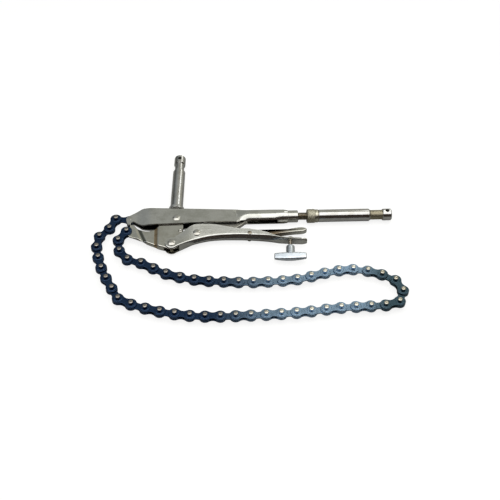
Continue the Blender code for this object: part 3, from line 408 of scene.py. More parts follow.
@dataclass(frozen=True)
class MetalFinish:
    """A plated, polished or blued steel surface.

    Its colour drifts between clouds of two shades, its fine marks follow the way it was made, and its
    edges have rubbed brighter. Some finishes also carry painted light: colours that they turn to along +X,
    lighter or darker where light falls differently across the clamp. Grain and clouds are sized in
    millimetres; the places of the painted light colours are in metres of the shared frame.
    """

    name: str
    slot: str
    colour: str
    clouds: str
    rubbed: str
    roughness: float
    roughness_spread: float
    grain: Grain
    grain_size: float
    grain_height: float
    cloud_size: float
    # Painted light and shade: colours that the finish turns to along +X, and the places where it turns
    painted_light_colours: tuple[str, ...] = ()
    painted_light_places: tuple[Point, ...] = ((-0.05, 0.05), (0.12, 0.165))

    cloud_ends = (0.40, 0.66)
    streak_ends = (0.3, 0.7)
    streak_tone = (0.94, 1.0)
    edge_ends = (0.53, 0.62)
    edge_wear = (0.0, 0.75)
    rough_ends = (0.7, 1.3)

    def material(self) -> bpy.types.Material:
        """The finish as a material, made once."""
        kept = bpy.data.materials.get(self.name)
        if kept:
            return kept
        material = bpy.data.materials.new(self.name)
        tree = empty_tree(material)
        place = add_node(tree, "ShaderNodeTexCoord").outputs["Object"]
        marks = [share / (self.grain_size * MM) for share in self.grain.value]
        along = add_node(tree, "ShaderNodeVectorMath", {0: place, 1: marks}, operation="MULTIPLY").outputs[0]
        grain = add_node(tree, "ShaderNodeTexNoise",
                         {"Vector": along, "Scale": 1.0, "Detail": 3.0, "Roughness": 0.6}).outputs["Fac"]
        cloud = add_node(tree, "ShaderNodeTexNoise", {"Vector": place, "Scale": 1 / (self.cloud_size * MM),
                                                      "Detail": 4.0, "Roughness": 0.62}).outputs["Fac"]
        base = mixed(tree, spread(tree, cloud, self.cloud_ends), self.colour, self.clouds)
        shade = self.painted_light_drift(tree, place, base)
        streaks = spread(tree, grain, self.streak_ends, self.streak_tone, soft=False)
        streaked = mixed(tree, 1.0, shade, streaks, "MULTIPLY")
        pointed = add_node(tree, "ShaderNodeNewGeometry").outputs["Pointiness"]
        wear = spread(tree, pointed, self.edge_ends, self.edge_wear, soft=False)
        worn = mixed(tree, wear, streaked, self.rubbed)
        limits = (self.roughness - self.roughness_spread, self.roughness + self.roughness_spread)
        rough = spread(tree, maths(tree, "ADD", grain, cloud), self.rough_ends, limits, soft=False)
        bump = add_node(tree, "ShaderNodeBump",
                        {"Height": grain, "Strength": 0.5, "Distance": self.grain_height * MM})
        shader = add_node(tree, "ShaderNodeBsdfPrincipled", {"Base Color": worn, "Metallic": 1.0,
                                                             "Roughness": rough, "Normal": bump.outputs[0]})
        add_node(tree, "ShaderNodeOutputMaterial", {"Surface": shader.outputs[0]})
        return material

    def painted_light_drift(self, tree: bpy.types.NodeTree, place: Socket, colour: Socket) -> Socket:
        """The colour, changing along +X to each colour of painted light and shade in turn, where there are
        any.
        """
        if not self.painted_light_colours:
            return colour
        along = add_node(tree, "ShaderNodeSeparateXYZ", {0: place}).outputs["X"]
        for painted_tone, ends in zip(self.painted_light_colours, self.painted_light_places):
            colour = mixed(tree, spread(tree, along, ends), colour, painted_tone)
        return colour


# Nickel plate over brushed sheet: warm grey, with a soft grain along the handles
BRUSHED_NICKEL = MetalFinish("brushed_nickel_plate", "nickel_sheet", "#cfcfca", "#bcbcb5", "#e2e1db",
                             0.20, 0.04, Grain.ROLLED, 0.9, 0.001, 18.0)
# The same plate over the pressed jaw: brighter, and smoother where the press has burnished it
BURNISHED_NICKEL = MetalFinish("burnished_nickel_plate", "nickel_sheet", "#cfcec5", "#bfbdb2", "#e6e4dd",
                               0.12, 0.03, Grain.ROLLED, 0.9, 0.001, 14.0)
# A brown band on the same plate, across the jaw near its pinch
BROWN_BAND_NICKEL = MetalFinish("brown_band_nickel_plate", "nickel_sheet", "#b09d80", "#9b876a", "#c8bba2",
                               0.16, 0.03, Grain.ROLLED, 0.9, 0.001, 6.0)
# The release lever: painted shade in dark brown over its stem, turning back to the plain nickel colour at its
# finger end
PAINTED_SHADE_NICKEL = MetalFinish("painted_shade_nickel_plate", "nickel_sheet", "#7f705c", "#675a49", "#b5a993",
                            0.16, 0.04, Grain.ROLLED, 0.9, 0.001, 10.0, ("#cfcec5",), ((0.035, 0.068),))
# Bright nickel over turned steel: mirror-like, with faint rings from the lathe
TURNED_BRIGHT_X = MetalFinish("turned_bright_nickel_lengthwise", "bright_steel", "#ccccca", "#bcbab4",
                              "#e6e5e0", 0.13, 0.03, Grain.TURNED_ABOUT_X, 0.9, 0.001, 18.0)
TURNED_BRIGHT_Y = MetalFinish("turned_bright_nickel_upright", "bright_steel", "#ccccca", "#bcbab4", "#e6e5e0",
                              0.21, 0.02, Grain.TURNED_ABOUT_Y, 0.9, 0.001, 18.0)
# Bright nickel over small tumbled parts: rivets and the over-centre bar
TUMBLED_BRIGHT = MetalFinish("tumbled_bright_nickel", "bright_steel", "#c9c7c0", "#b3afa5", "#e8e6df",
                             0.25, 0.03, Grain.TUMBLED, 1.4, 0.001, 8.0)
# Bare machined steel, brown with oil in the roots of its thread
OILED_STEEL = MetalFinish("oiled_machined_steel", "plain_steel", "#a39b8b", "#82796a", "#cdc8bb",
                          0.30, 0.08, Grain.TURNED_ABOUT_X, 0.8, 0.003, 5.0)
# The collar's knurl: plated over sharp diamonds, olive where oil has stayed in them
KNURLED_PLATE = MetalFinish("knurled_plated_steel", "plain_steel", "#bdb9a6", "#a19c88", "#dedbcf",
                            0.28, 0.06, Grain.TUMBLED, 0.8, 0.003, 5.0)
# Turned but not polished: the tan grey waist of the rear stud
TURNED_DULL = MetalFinish("turned_dull_nickel", "bright_steel", "#a39c86", "#948d78", "#c0bbab",
                          0.46, 0.05, Grain.TURNED_ABOUT_X, 0.9, 0.002, 8.0)
# Zinc plate over cast steel: bluish and slightly spangled
ZINC_PLATE = MetalFinish("zinc_plate", "zinc", "#e0e6ec", "#d4dce3", "#eef2f5",
                         0.36, 0.05, Grain.TUMBLED, 1.0, 0.001, 9.0)
# Heat-blued plates with a film of oil: nearly black blue, with painted light along the chain: lighter
# blue-grey from the middle on, darker grey-green again at the rear end
BLUED_PLATE_PAINTED_LIGHT = MetalFinish("blued_chain_steel_painted_light", "blued_steel", "#2b3f5c", "#22334e", "#66788f",
                          0.28, 0.06, Grain.TUMBLED, 1.8, 0.002, 12.0, ("#8ba5bd", "#40555f"))
# Peened pin ends, rubbed bright, with painted light along the chain: dull grey at the front, pale cream from
# the middle on, a little darker at the rear end
RUBBED_PIN_PAINTED_LIGHT = MetalFinish("rubbed_pin_steel_painted_light", "blued_steel", "#a09b93", "#857f77", "#d5d1c6",
                         0.26, 0.06, Grain.TUMBLED, 0.9, 0.006, 3.0, ("#e4e0d2", "#c0bba9"))
# Spring wire: dark drawn steel
SPRING_WIRE = MetalFinish("drawn_spring_wire", "plain_steel", "#77767a", "#5a595d", "#a9a8aa",
                          0.30, 0.05, Grain.TUMBLED, 0.6, 0.005, 4.0)


def fit(made: bpy.types.Object, finish: MetalFinish, body: str, *nodes: str, rim: float = 0.0,
        crease: float = 38.0, second: MetalFinish | None = None) -> bpy.types.Object:
    """Dress a piece and put it in its place in the clamp.

    Args:
        made: the piece.
        finish: its finish.
        body: the body that it moves with.
        nodes: CAD nodes that it stands for.
        rim: radius of its broken edges.
        crease: edges sharper than this angle stay crisp where they aren't broken.
        second: finish of the faces that ask for the second one.

    Returns:
        The piece.
    """
    mesh = made.data
    mesh.materials.clear()
    mesh.materials.append(finish.material())
    if second:
        mesh.materials.append(second.material())
    mesh.shade_smooth()
    if rim > 0:
        edge = made.modifiers.new("broken edges", "BEVEL")
        edge.width = rim * MM
        edge.segments = 2
        edge.limit_method = "ANGLE"
        edge.angle_limit = math.radians(crease)
        edge.use_clamp_overlap = True
    else:
        mesh.set_sharp_from_angle(angle=math.radians(crease))
    normals = made.modifiers.new("even normals", "WEIGHTED_NORMAL")
    normals.keep_sharp = True
    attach(made, body)
    if nodes:
        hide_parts(*nodes)
    LOG.info("%s rides on %s", made.name, body)
    return made


def mark_faces(made: bpy.types.Object, asks: Callable[[bpy.types.MeshPolygon], bool]) -> None:
    """The faces that ask for it get the second finish."""
    for face in made.data.polygons:
        if asks(face):
            face.material_index = 1


def between(start: float, end: float) -> Callable[[bpy.types.MeshPolygon], bool]:
    """Whether a face lies between two places along +X."""
    return lambda face: start < face.center.x / MM - DRAWING_PLACE.x < end


# Sections of folded sheet


def half_turn(points: Sequence[Point]) -> list[Point]:
    """A section from its left half, (height, across), and the mirror of it."""
    return [*points, *[(y, -z) for y, z in reversed(points)]]


def channel_line(top: float, low: float, half: float, corner: float) -> list[Point]:
    """Round-cornered section open below, as (height, across) from one lower edge to the other."""
    wall, bend, crown = 5, 7, 4
    left = [(low + (top - corner - low) * i / wall, -half) for i in range(wall + 1)]
    for i in range(1, bend + 1):
        turn = math.pi / 2 * i / bend
        left.append((top - corner + corner * math.sin(turn), -half + corner - corner * math.cos(turn)))
    left += [(top, -(half - corner) * (1 - i / (crown + 0.5))) for i in range(1, crown + 1)]
    return half_turn(left)


def tube_line(height: float, radius: float, slot: float, count: int) -> list[Point]:
    """Tube section with a slot below, as (height, across) from one edge of the slot to the other."""
    opening = math.asin(slot / 2 / radius)
    turns = [opening + (2 * math.pi - 2 * opening) * i / (count - 1) for i in range(count)]
    return [(height - radius * math.cos(a), -radius * math.sin(a)) for a in turns]


def sheet_ring(x: float, outer: Sequence[Point], inner: Sequence[Point]) -> list[Vector]:
    """Closed ring of the sheet between its two faces."""
    return [Vector((x, y, z)) for y, z in outer] + [Vector((x, y, z)) for y, z in reversed(inner)]


def evened(line: Sequence[Point]) -> list[Point]:
    """The same open line with as many points, but evenly far from each other."""
    lengths = [0.0]
    for here, there in zip(line, line[1:]):
        lengths.append(lengths[-1] + math.dist(here, there))
    places = [lengths[-1] * i / (len(line) - 1) for i in range(len(line))]
    return [tuple(height_at([(d, p[axis]) for d, p in zip(lengths, line)], place) for axis in (0, 1))
            for place in places]


def blended(first: Sequence[Point], second: Sequence[Point], share: float) -> list[Point]:
    """Points between two sections of equal count."""
    return [(a + (c - a) * share, b + (d - b) * share) for (a, b), (c, d) in zip(first, second)]


# Shapes across the handles


def box_shape(low: Sequence[float], high: Sequence[float]) -> Shape:
    """A plain box, only used to cut."""
    ring = [(low[0], low[1]), (high[0], low[1]), (high[0], high[1]), (low[0], high[1])]
    return loft([[(x, y, z) for x, y in ring] for z in (low[2], high[2])])


def turned_across(profile: Sequence[Point], place: Point, sides: int) -> Shape:
    """A turned shape whose axis is square to the side plates."""
    return lathe(profile, (*place, 0.0), (0, 0, 1), sides)


def mirrored(side: Sequence[Point]) -> list[Point]:
    """A whole profile from its far half and the mirror of it."""
    return [(-z, r) for z, r in reversed(side)] + list(side)


def bore_shape(place: Point, radius: float, half: float, sides: int = 40) -> Shape:
    """A round bore square to the side plates, only used to cut."""
    return turned_across([(-half, radius), (half, radius)], place, sides)


def rivet_shape(place: Point, shank: float, head: float, height: float) -> Shape:
    """A rivet across the handles with two domed heads."""
    rim = 0.4 * height
    rise = height - rim
    start = CHANNEL_HALF + 0.05
    curve = (head ** 2 + rise ** 2) / (2 * rise)
    edge = math.asin(head / curve)
    turns = [edge * (1 - i / 8) for i in range(8)] + [0.04 * edge]
    dome = [(start + rim + curve * (math.cos(a) - math.cos(edge)), curve * math.sin(a)) for a in turns]
    return turned_across(mirrored([(CHANNEL_HALF, shank), (start, head), *dome]), place, 40)


# Sub-assemblies


@dataclass
class FixedHandle:
    """Upper handle of folded sheet: a pinched and forked nose, a channel, and a tube with a slot below."""

    nose_reach: float = 63.0
    crest: float = 19.3
    nose_width: float = 7.1
    fork_gap: float = 3.3
    channel_reach: float = 88.0
    fold_radius: float = 2.8
    tube_radius: float = 9.0
    tube_slot: float = 6.0
    mouth_radius: float = 8.1
    mouth_cone: float = 5.0
    blend: float = 17.0
    first_curl: float = 0.75
    round_places: Point = (123.0, 134.0)
    anchor: Point = (-58.527, 3.899)
    anchor_play: float = 0.12

    top_shares = ((-1.0, 0.26), (-0.992, 0.37), (-0.965, 0.449), (-0.678, 1.09))
    low_shares = (
        (-1.0, 0.16), (-0.993, -0.06), (-0.983, -0.20), (-0.962, -0.31), (-0.935, -0.37), (-0.905, -0.37),
        (-0.902, -0.22), (-0.886, -0.12), (-0.865, -0.085), (-0.841, -0.10), (-0.675, -0.50),
    )
    channel_shares = ((0.216, -0.42), (0.545, -0.347), (0.858, -0.389))
    pinch_shares = (-0.825, -0.48)
    web_share = -0.794

    def edges(self) -> tuple[list[Point], list[Point]]:
        """Top and lower edge of the nose and channel."""
        top = scaled(self.top_shares, self.nose_reach, self.crest)
        crown = TUBE_HEIGHT + self.tube_radius
        top += [(self.channel_reach, crown), (self.channel_reach + self.blend, crown)]
        low = scaled(self.low_shares, self.nose_reach, self.crest)
        low += scaled(self.channel_shares, self.channel_reach, self.crest)
        return rounded(top, 3.0), rounded(low, 2.5)

    def channel(self, crown: float, floor: float, half: float, depth: float) -> list[Point]:
        """Section of the channel at a depth under its outer face."""
        corner = max(self.fold_radius - depth, 0.3)
        return channel_line(max(crown - depth, floor + 0.1), floor, half - depth, corner)

    def tube(self, radius: float, count: int) -> list[Point]:
        """Section of the slotted tube."""
        return tube_line(TUBE_HEIGHT, radius, self.tube_slot, count)

    def sheet_shape(self) -> Shape:
        """The folded sheet from the nose to the coned mouth of the tube."""
        top, low = self.edges()
        front, rear = (share * self.nose_reach for share in self.pinch_shares)
        pinch = [(front + (rear - front) * i / 10, 0.0) for i in range(11)]
        blend_start, blend_floor = low[-1]
        rings = []
        for x in stations([p for p in top if p[0] < blend_start], low, pinch):
            half = self.nose_width / 2
            half += (CHANNEL_HALF - half) * eased(x, front, rear)
            crown, floor = height_at(top, x), height_at(low, x)
            rings.append(sheet_ring(x, *(self.channel(crown, floor, half, depth) for depth in (0.0, SHEET))))
        steps = 48
        reach = TUBE_END - self.mouth_cone - 2.0 - blend_start
        for i in range(steps + 1):
            done = 0.1 + (reach - 0.1) * i / steps
            x = blend_start + done
            curled = eased(0.15 + 0.85 * done / self.blend) * min(1.0, done / 2.0)
            share = self.first_curl * curled + (1 - self.first_curl) * eased(x, *self.round_places)
            floor = blend_floor + (TUBE_HEIGHT - self.tube_radius - blend_floor) * curled
            faces = []
            for depth in (0.0, SHEET):
                flat = evened(self.channel(height_at(top, x), floor, CHANNEL_HALF, depth))
                faces.append(blended(flat, self.tube(self.tube_radius - depth, len(flat)), share))
            rings.append(sheet_ring(x, *faces))
        count = len(rings[0]) // 2
        cone = TUBE_END - self.mouth_cone
        ends = [(cone - 1.0, self.tube_radius), (cone, self.tube_radius), (TUBE_END, self.mouth_radius)]
        for x, radius in rounded(ends, 1.5):
            rings.append(sheet_ring(x, self.tube(radius, count), self.tube(self.tube_radius - SHEET, count)))
        return loft(rings)

    def build(self) -> list[bpy.types.Object]:
        """The handle and the flush pin that holds the chain's root."""
        handle = solid("upper_handle_sheet", self.sheet_shape())
        gap = self.fork_gap / 2
        cut(handle, box_shape((-self.nose_reach - CUT_MARGIN, -self.crest, -gap),
                              (self.web_share * self.nose_reach, self.crest + CUT_MARGIN, gap)))
        cut(handle, bore_shape(self.anchor, CHAIN_PIN_RADIUS + self.anchor_play, self.nose_width))
        half = self.nose_width / 2
        profile = rounded(mirrored([(half, CHAIN_PIN_RADIUS), (half, 0.2)]), 0.3)
        pin = solid("chain_anchor_rivet", turned_across(profile, self.anchor, 32))
        return [
            fit(handle, BRUSHED_NICKEL, "frame", "upper_handle", rim=0.28),
            fit(pin, BURNISHED_NICKEL, "frame", "chain_anchor_pin"),
        ]


@dataclass
class MovingJaw:
    """Folded jaw with a hooked tongue, a scooped throat and two flat walls, and the rivets in it."""

    reach: float = 62.1
    drop: float = 42.0
    width: float = 8.4
    tongue: float = 2.5
    sheet: float = 1.9
    eye_radius: float = 8.2
    seat_play: float = 0.7
    seat: Point = (-62.1, -16.38)
    lip_radius: float = 6.1
    lip_angles: Point = (233, 285)
    mouth_angle: float = 225
    shelf_angle: float = 49

    top_shares = (
        (-0.947, -0.19), (-0.920, -0.126), (-0.858, -0.136), (-0.816, -0.233), (-0.750, -0.345),
        (-0.692, -0.402), (-0.612, -0.443), (-0.533, -0.440), (-0.454, -0.400), (-0.396, -0.345),
        (-0.345, -0.215), (-0.290, -0.02), (-0.200, 0.12),
    )
    low_shares = (
        (-0.957, -0.602), (-0.845, -0.660), (-0.725, -0.755), (-0.625, -0.850), (-0.525, -0.933),
        (-0.366, -1.045),
    )
    crease_shares = (-0.350, -0.425)
    crease_depth: float = 1.2
    plateau_depth: float = 0.2
    pinch_shares = (-0.655, -0.727, -0.769)
    thin_share = -0.885
    pinch_slant: float = 0.35
    pinch_height: float = -24.0
    pinch_swell: float = 1.05
    ridge: float = 0.65
    chin = ((-54.0, -45.0), (-51.0, -27.0), (-45.5, -29.5), (-38.0, -34.0), (-33.0, -45.0))
    chin_lean: float = 0.24
    chin_depth: float = 5.0
    # Places along +X of the brown band across the jaw
    brown_band = (-27.4, -23.4)
    hollow_share = -0.700
    floor_share = -0.250
    anchor_profile = ((4.0, 0.2), (4.0, 2.7), (4.7, 2.7), (5.2, 1.9), (5.2, 1.3), (4.8, 0.9), (4.8, 0.1))
    rear_shares = ((0.032, -0.955), (0.135, -0.376))

    def edges(self) -> tuple[list[Point], list[Point]]:
        """Top and lower edge, from the lip under the chain's last pin to the rear."""
        lip = arc(self.seat, self.lip_radius, *self.lip_angles, 6)
        mouth = on_circle(self.seat, self.lip_radius, self.mouth_angle)
        shelf = on_circle(self.seat, CHAIN_PIN_RADIUS, self.shelf_angle)
        top = [mouth, shelf, *scaled(self.top_shares, self.reach, self.drop)]
        top += arc((0.0, 0.0), self.eye_radius, 125, 5, 14)
        low = lip + scaled(self.low_shares, self.reach, self.drop)
        low += arc(HEEL_PIVOT, self.eye_radius, 232, 350, 12)
        low += scaled(self.rear_shares, self.reach, self.drop)
        return [top[0], *rounded(top[1:], 2.5)], rounded(low, 5.0)

    def half_width(self, x: float, y: float) -> float:
        """Half the jaw's width: a crease, a level stretch, a slanting pinch, a swell and the thin tongue."""
        start, end = (share * self.reach for share in self.crease_shares)
        enter, deepest, leave = (share * self.reach for share in self.pinch_shares)
        slanted = x + self.pinch_slant * (y - self.pinch_height)
        half = self.width / 2 - self.crease_depth * level(x, start, end)
        half -= self.plateau_depth * eased(x, end, enter)
        valley = self.tongue / 2 + self.ridge - self.pinch_swell
        left = self.width / 2 - self.crease_depth - self.plateau_depth - valley
        half -= left * level(slanted, enter, deepest)
        half += self.pinch_swell * level(slanted, deepest, leave)
        half -= self.ridge * eased(x, leave, self.thin_share * self.reach)
        half -= self.chin_lean * min(max(height_at(self.chin, x) - y, 0.0), self.chin_depth)
        return half

    def ring(self, x: float, floor: float, high: float) -> list[Vector]:
        """Section of the folded jaw: rounded below where the sheet is bent, crisp above."""
        tall = max(high - floor, 0.02)
        bend = min(1.7, self.half_width(x, floor) * 0.8, tall * 0.35)
        crisp = min(0.35, self.half_width(x, high) * 0.3, tall * 0.2)
        left = []
        for i in range(6):
            turn = math.pi / 2 * i / 5
            y = floor + bend - bend * math.cos(turn)
            left.append((y, -(self.half_width(x, y) - bend) - bend * math.sin(turn)))
        for i in range(1, 11):
            y = floor + bend + (high - crisp - floor - bend) * i / 10
            left.append((y, -self.half_width(x, y)))
        half = self.half_width(x, high)
        left += [(high - crisp * 0.3, -half + crisp * 0.3), (high, -half + crisp)]
        return [Vector((x, y, z)) for y, z in half_turn(left)]

    def build(self) -> list[bpy.types.Object]:
        """The jaw and the two rivets."""
        top, low = self.edges()
        rings = []
        for x in stations(top, low, most=0.7):
            rings.append(self.ring(x, min(height_at(low, x), height_at(top, x) - 0.05), height_at(top, x)))
        jaw = solid("jaw_pressing", loft(rings))
        cut(jaw, bore_shape(self.seat, CHAIN_PIN_RADIUS + self.seat_play, self.width))
        cut(jaw, self.hollow(low))
        pivot = solid("jaw_rivet_domes", rivet_shape((0.0, 0.0), *LARGE_RIVET))
        heel = solid("handle_rivet_domes", rivet_shape(HEEL_PIVOT, *LARGE_RIVET))
        anchor_line = rounded(self.anchor_profile, 0.4)
        anchor = solid("spring_anchor_head", turned_across(anchor_line, SPRING_FRONT, 32))
        pieces = [
            fit(anchor, TUMBLED_BRIGHT, "jaw_body"),
            fit(jaw, BURNISHED_NICKEL, "jaw_body", "jaw", crease=46, second=BROWN_BAND_NICKEL),
            fit(pivot, TUMBLED_BRIGHT, "frame", "jaw_rivet"),
            fit(heel, TUMBLED_BRIGHT, "jaw_body", "handle_rivet"),
        ]
        mark_faces(jaw, between(*self.brown_band))
        return pieces

    def hollow(self, low: Sequence[Point]) -> Shape:
        """The space between the walls, as a shape to cut."""
        half = self.width / 2 - self.sheet
        front = self.hollow_share * self.reach
        end = self.floor_share * self.reach
        rings = []
        for x in [front, *[x for x in stations(low) if front < x < end], end]:
            floor = height_at(low, x) + self.sheet
            wall = min(self.half_width(x, floor), self.half_width(x, floor + self.sheet))
            out = max(wall - self.sheet, 0.08)
            rings.append([(x, floor, -out), (x, self.drop, -out), (x, self.drop, out), (x, floor, out)])
        for x in (end + 0.1, self.eye_radius + CUT_MARGIN):
            floor = -self.drop - self.eye_radius - CUT_MARGIN
            rings.append([(x, floor, -half), (x, self.drop, -half), (x, self.drop, half), (x, floor, half)])
        return loft(rings)


@dataclass
class HandLever:
    """Lower handle: two ears outside the jaw, a channel open towards the tube, and a flat tail."""

    reach: float = 167.6
    rise: float = 29.1
    tail_width: float = 11.0
    tip_width: float = 6.6
    flare: float = 0.165
    flare_axis: float = 0.45
    keel: float = 0.8
    keel_slope: float = 1.75
    plain_fold: Point = (1.2, 1.0)
    fold_reach: float = 1.5
    eye_radius: float = 8.4
    flange: float = 0.6
    ear_gap: float = 9.2

    top_shares = (
        (0.0215, 0.296), (0.097, 0.704), (0.156, 0.959), (0.209, 1.0), (0.283, 0.997), (0.320, 0.979),
        (0.394, 0.873), (0.478, 0.739), (0.564, 0.711), (0.623, 0.643), (0.696, 0.512), (0.761, 0.326),
        (0.833, 0.17),
    )
    low_shares = (
        (0.063, -0.090), (0.163, 0.127), (0.249, 0.275), (0.317, 0.333), (0.390, 0.354), (0.524, 0.337),
        (0.612, 0.292), (0.693, 0.240), (0.796, 0.155), (0.886, 0.110), (0.943, 0.082), (0.978, 0.068),
        (0.993, 0.066), (1.0, 0.068),
    )
    tip_shares = (0.8, 0.6, 0.4, 0.25, 0.12, 0.04)
    ear_shares = (0.06, 0.17)
    taper_shares = (0.70, 0.94)
    web_share = 0.056

    def places(self, *shares: float) -> list[float]:
        """Places along +X from shares of the reach, counted from the pivot."""
        return [HEEL_PIVOT[0] + share * self.reach for share in shares]

    def half_width(self, x: float) -> float:
        """Half the width at x: parallel, then a taper to the tail and a round tip."""
        start, end, last = self.places(*self.taper_shares, 1.0)
        width = 2 * CHANNEL_HALF + (self.tail_width - 2 * CHANNEL_HALF) * eased(x, start, end)
        return (width + (self.tip_width - self.tail_width) * max((x - end) / (last - end), 0.0) ** 3) / 2

    def shaped(self, x: float) -> float:
        """How far the flare and the keel are worked in: not at all in the ears and in the flat tail."""
        front, full, start, end = self.places(*self.ear_shares, *self.taper_shares)
        return eased(x, front, full) * (1 - eased(x, start, end))

    def section(self, x: float, floor: float, crown: float, depth: float) -> list[Point]:
        """Flared channel with a blunt keel below, as (height, across) from one upper edge to the other.

        Args:
            x: place of the section.
            floor: lowest height of the sheet.
            crown: height of its upper edges.
            depth: how far under the outer face the line runs.

        Returns:
            The open line.
        """
        share = self.shaped(x)
        slope = self.flare * share
        low = min(floor + depth, crown)
        axis = floor + self.flare_axis * (crown - floor)
        foot = self.half_width(x) - depth + slope * (low - axis)
        inset, rise = self.plain_fold
        keel = self.keel * share + (foot - inset) * (1 - share)
        bend = min((foot - keel) / self.keel_slope * share + rise * (1 - share), 0.6 * (crown - low))
        knee = (low + bend, -(foot + slope * bend))
        edge = (crown, -(foot + slope * (crown - low)))
        wall = [blended([edge], [knee], i / 4)[0] for i in range(4)]
        line = rounded([wall[-1], knee, (low, -keel)], self.fold_reach, 6)
        return half_turn([*wall[:-1], *line, (low, -keel * 0.4)])

    def build(self) -> list[bpy.types.Object]:
        """The lever with its rivets."""
        size = (self.reach, self.rise, HEEL_PIVOT)
        top = rounded(arc(HEEL_PIVOT, self.eye_radius, 168, 66, 12) + scaled(self.top_shares, *size), 8.0)
        low = rounded(arc(HEEL_PIVOT, self.eye_radius, 192, 290, 12) + scaled(self.low_shares, *size), 8.0)
        web, tip = self.places(self.web_share, 1.0)
        rings = []
        for x in stations(top, low, [(tip - 3.0 * share, 0.0) for share in self.tip_shares], most=3.0):
            floor, crown = height_at(low, x), height_at(top, x)
            least = floor + SHEET + self.flange
            if x > top[-1][0]:
                crown = least
            elif x > web:
                crown = max(crown, least)
            rings.append(sheet_ring(x, *(self.section(x, floor, crown, depth) for depth in (0.0, SHEET))))
        lever = solid("lower_handle_sheet", loft(rings))
        gap = self.ear_gap / 2
        front, low_end = (centre - self.eye_radius - CUT_MARGIN for centre in HEEL_PIVOT)
        cut(lever, box_shape((front, low_end, -gap), (web, 0.0, gap)))
        link_rivet = solid("link_rivet_domes", rivet_shape(LINK_PIVOT, *LARGE_RIVET))
        release_rivet = solid("release_rivet_domes", rivet_shape(RELEASE_PIVOT, *SMALL_RIVET))
        return [
            fit(lever, BRUSHED_NICKEL, "hand_lever", "lower_handle", crease=40),
            fit(link_rivet, TUMBLED_BRIGHT, "hand_lever", "link_rivet"),
            fit(release_rivet, OILED_STEEL, "hand_lever", "release_rivet"),
        ]


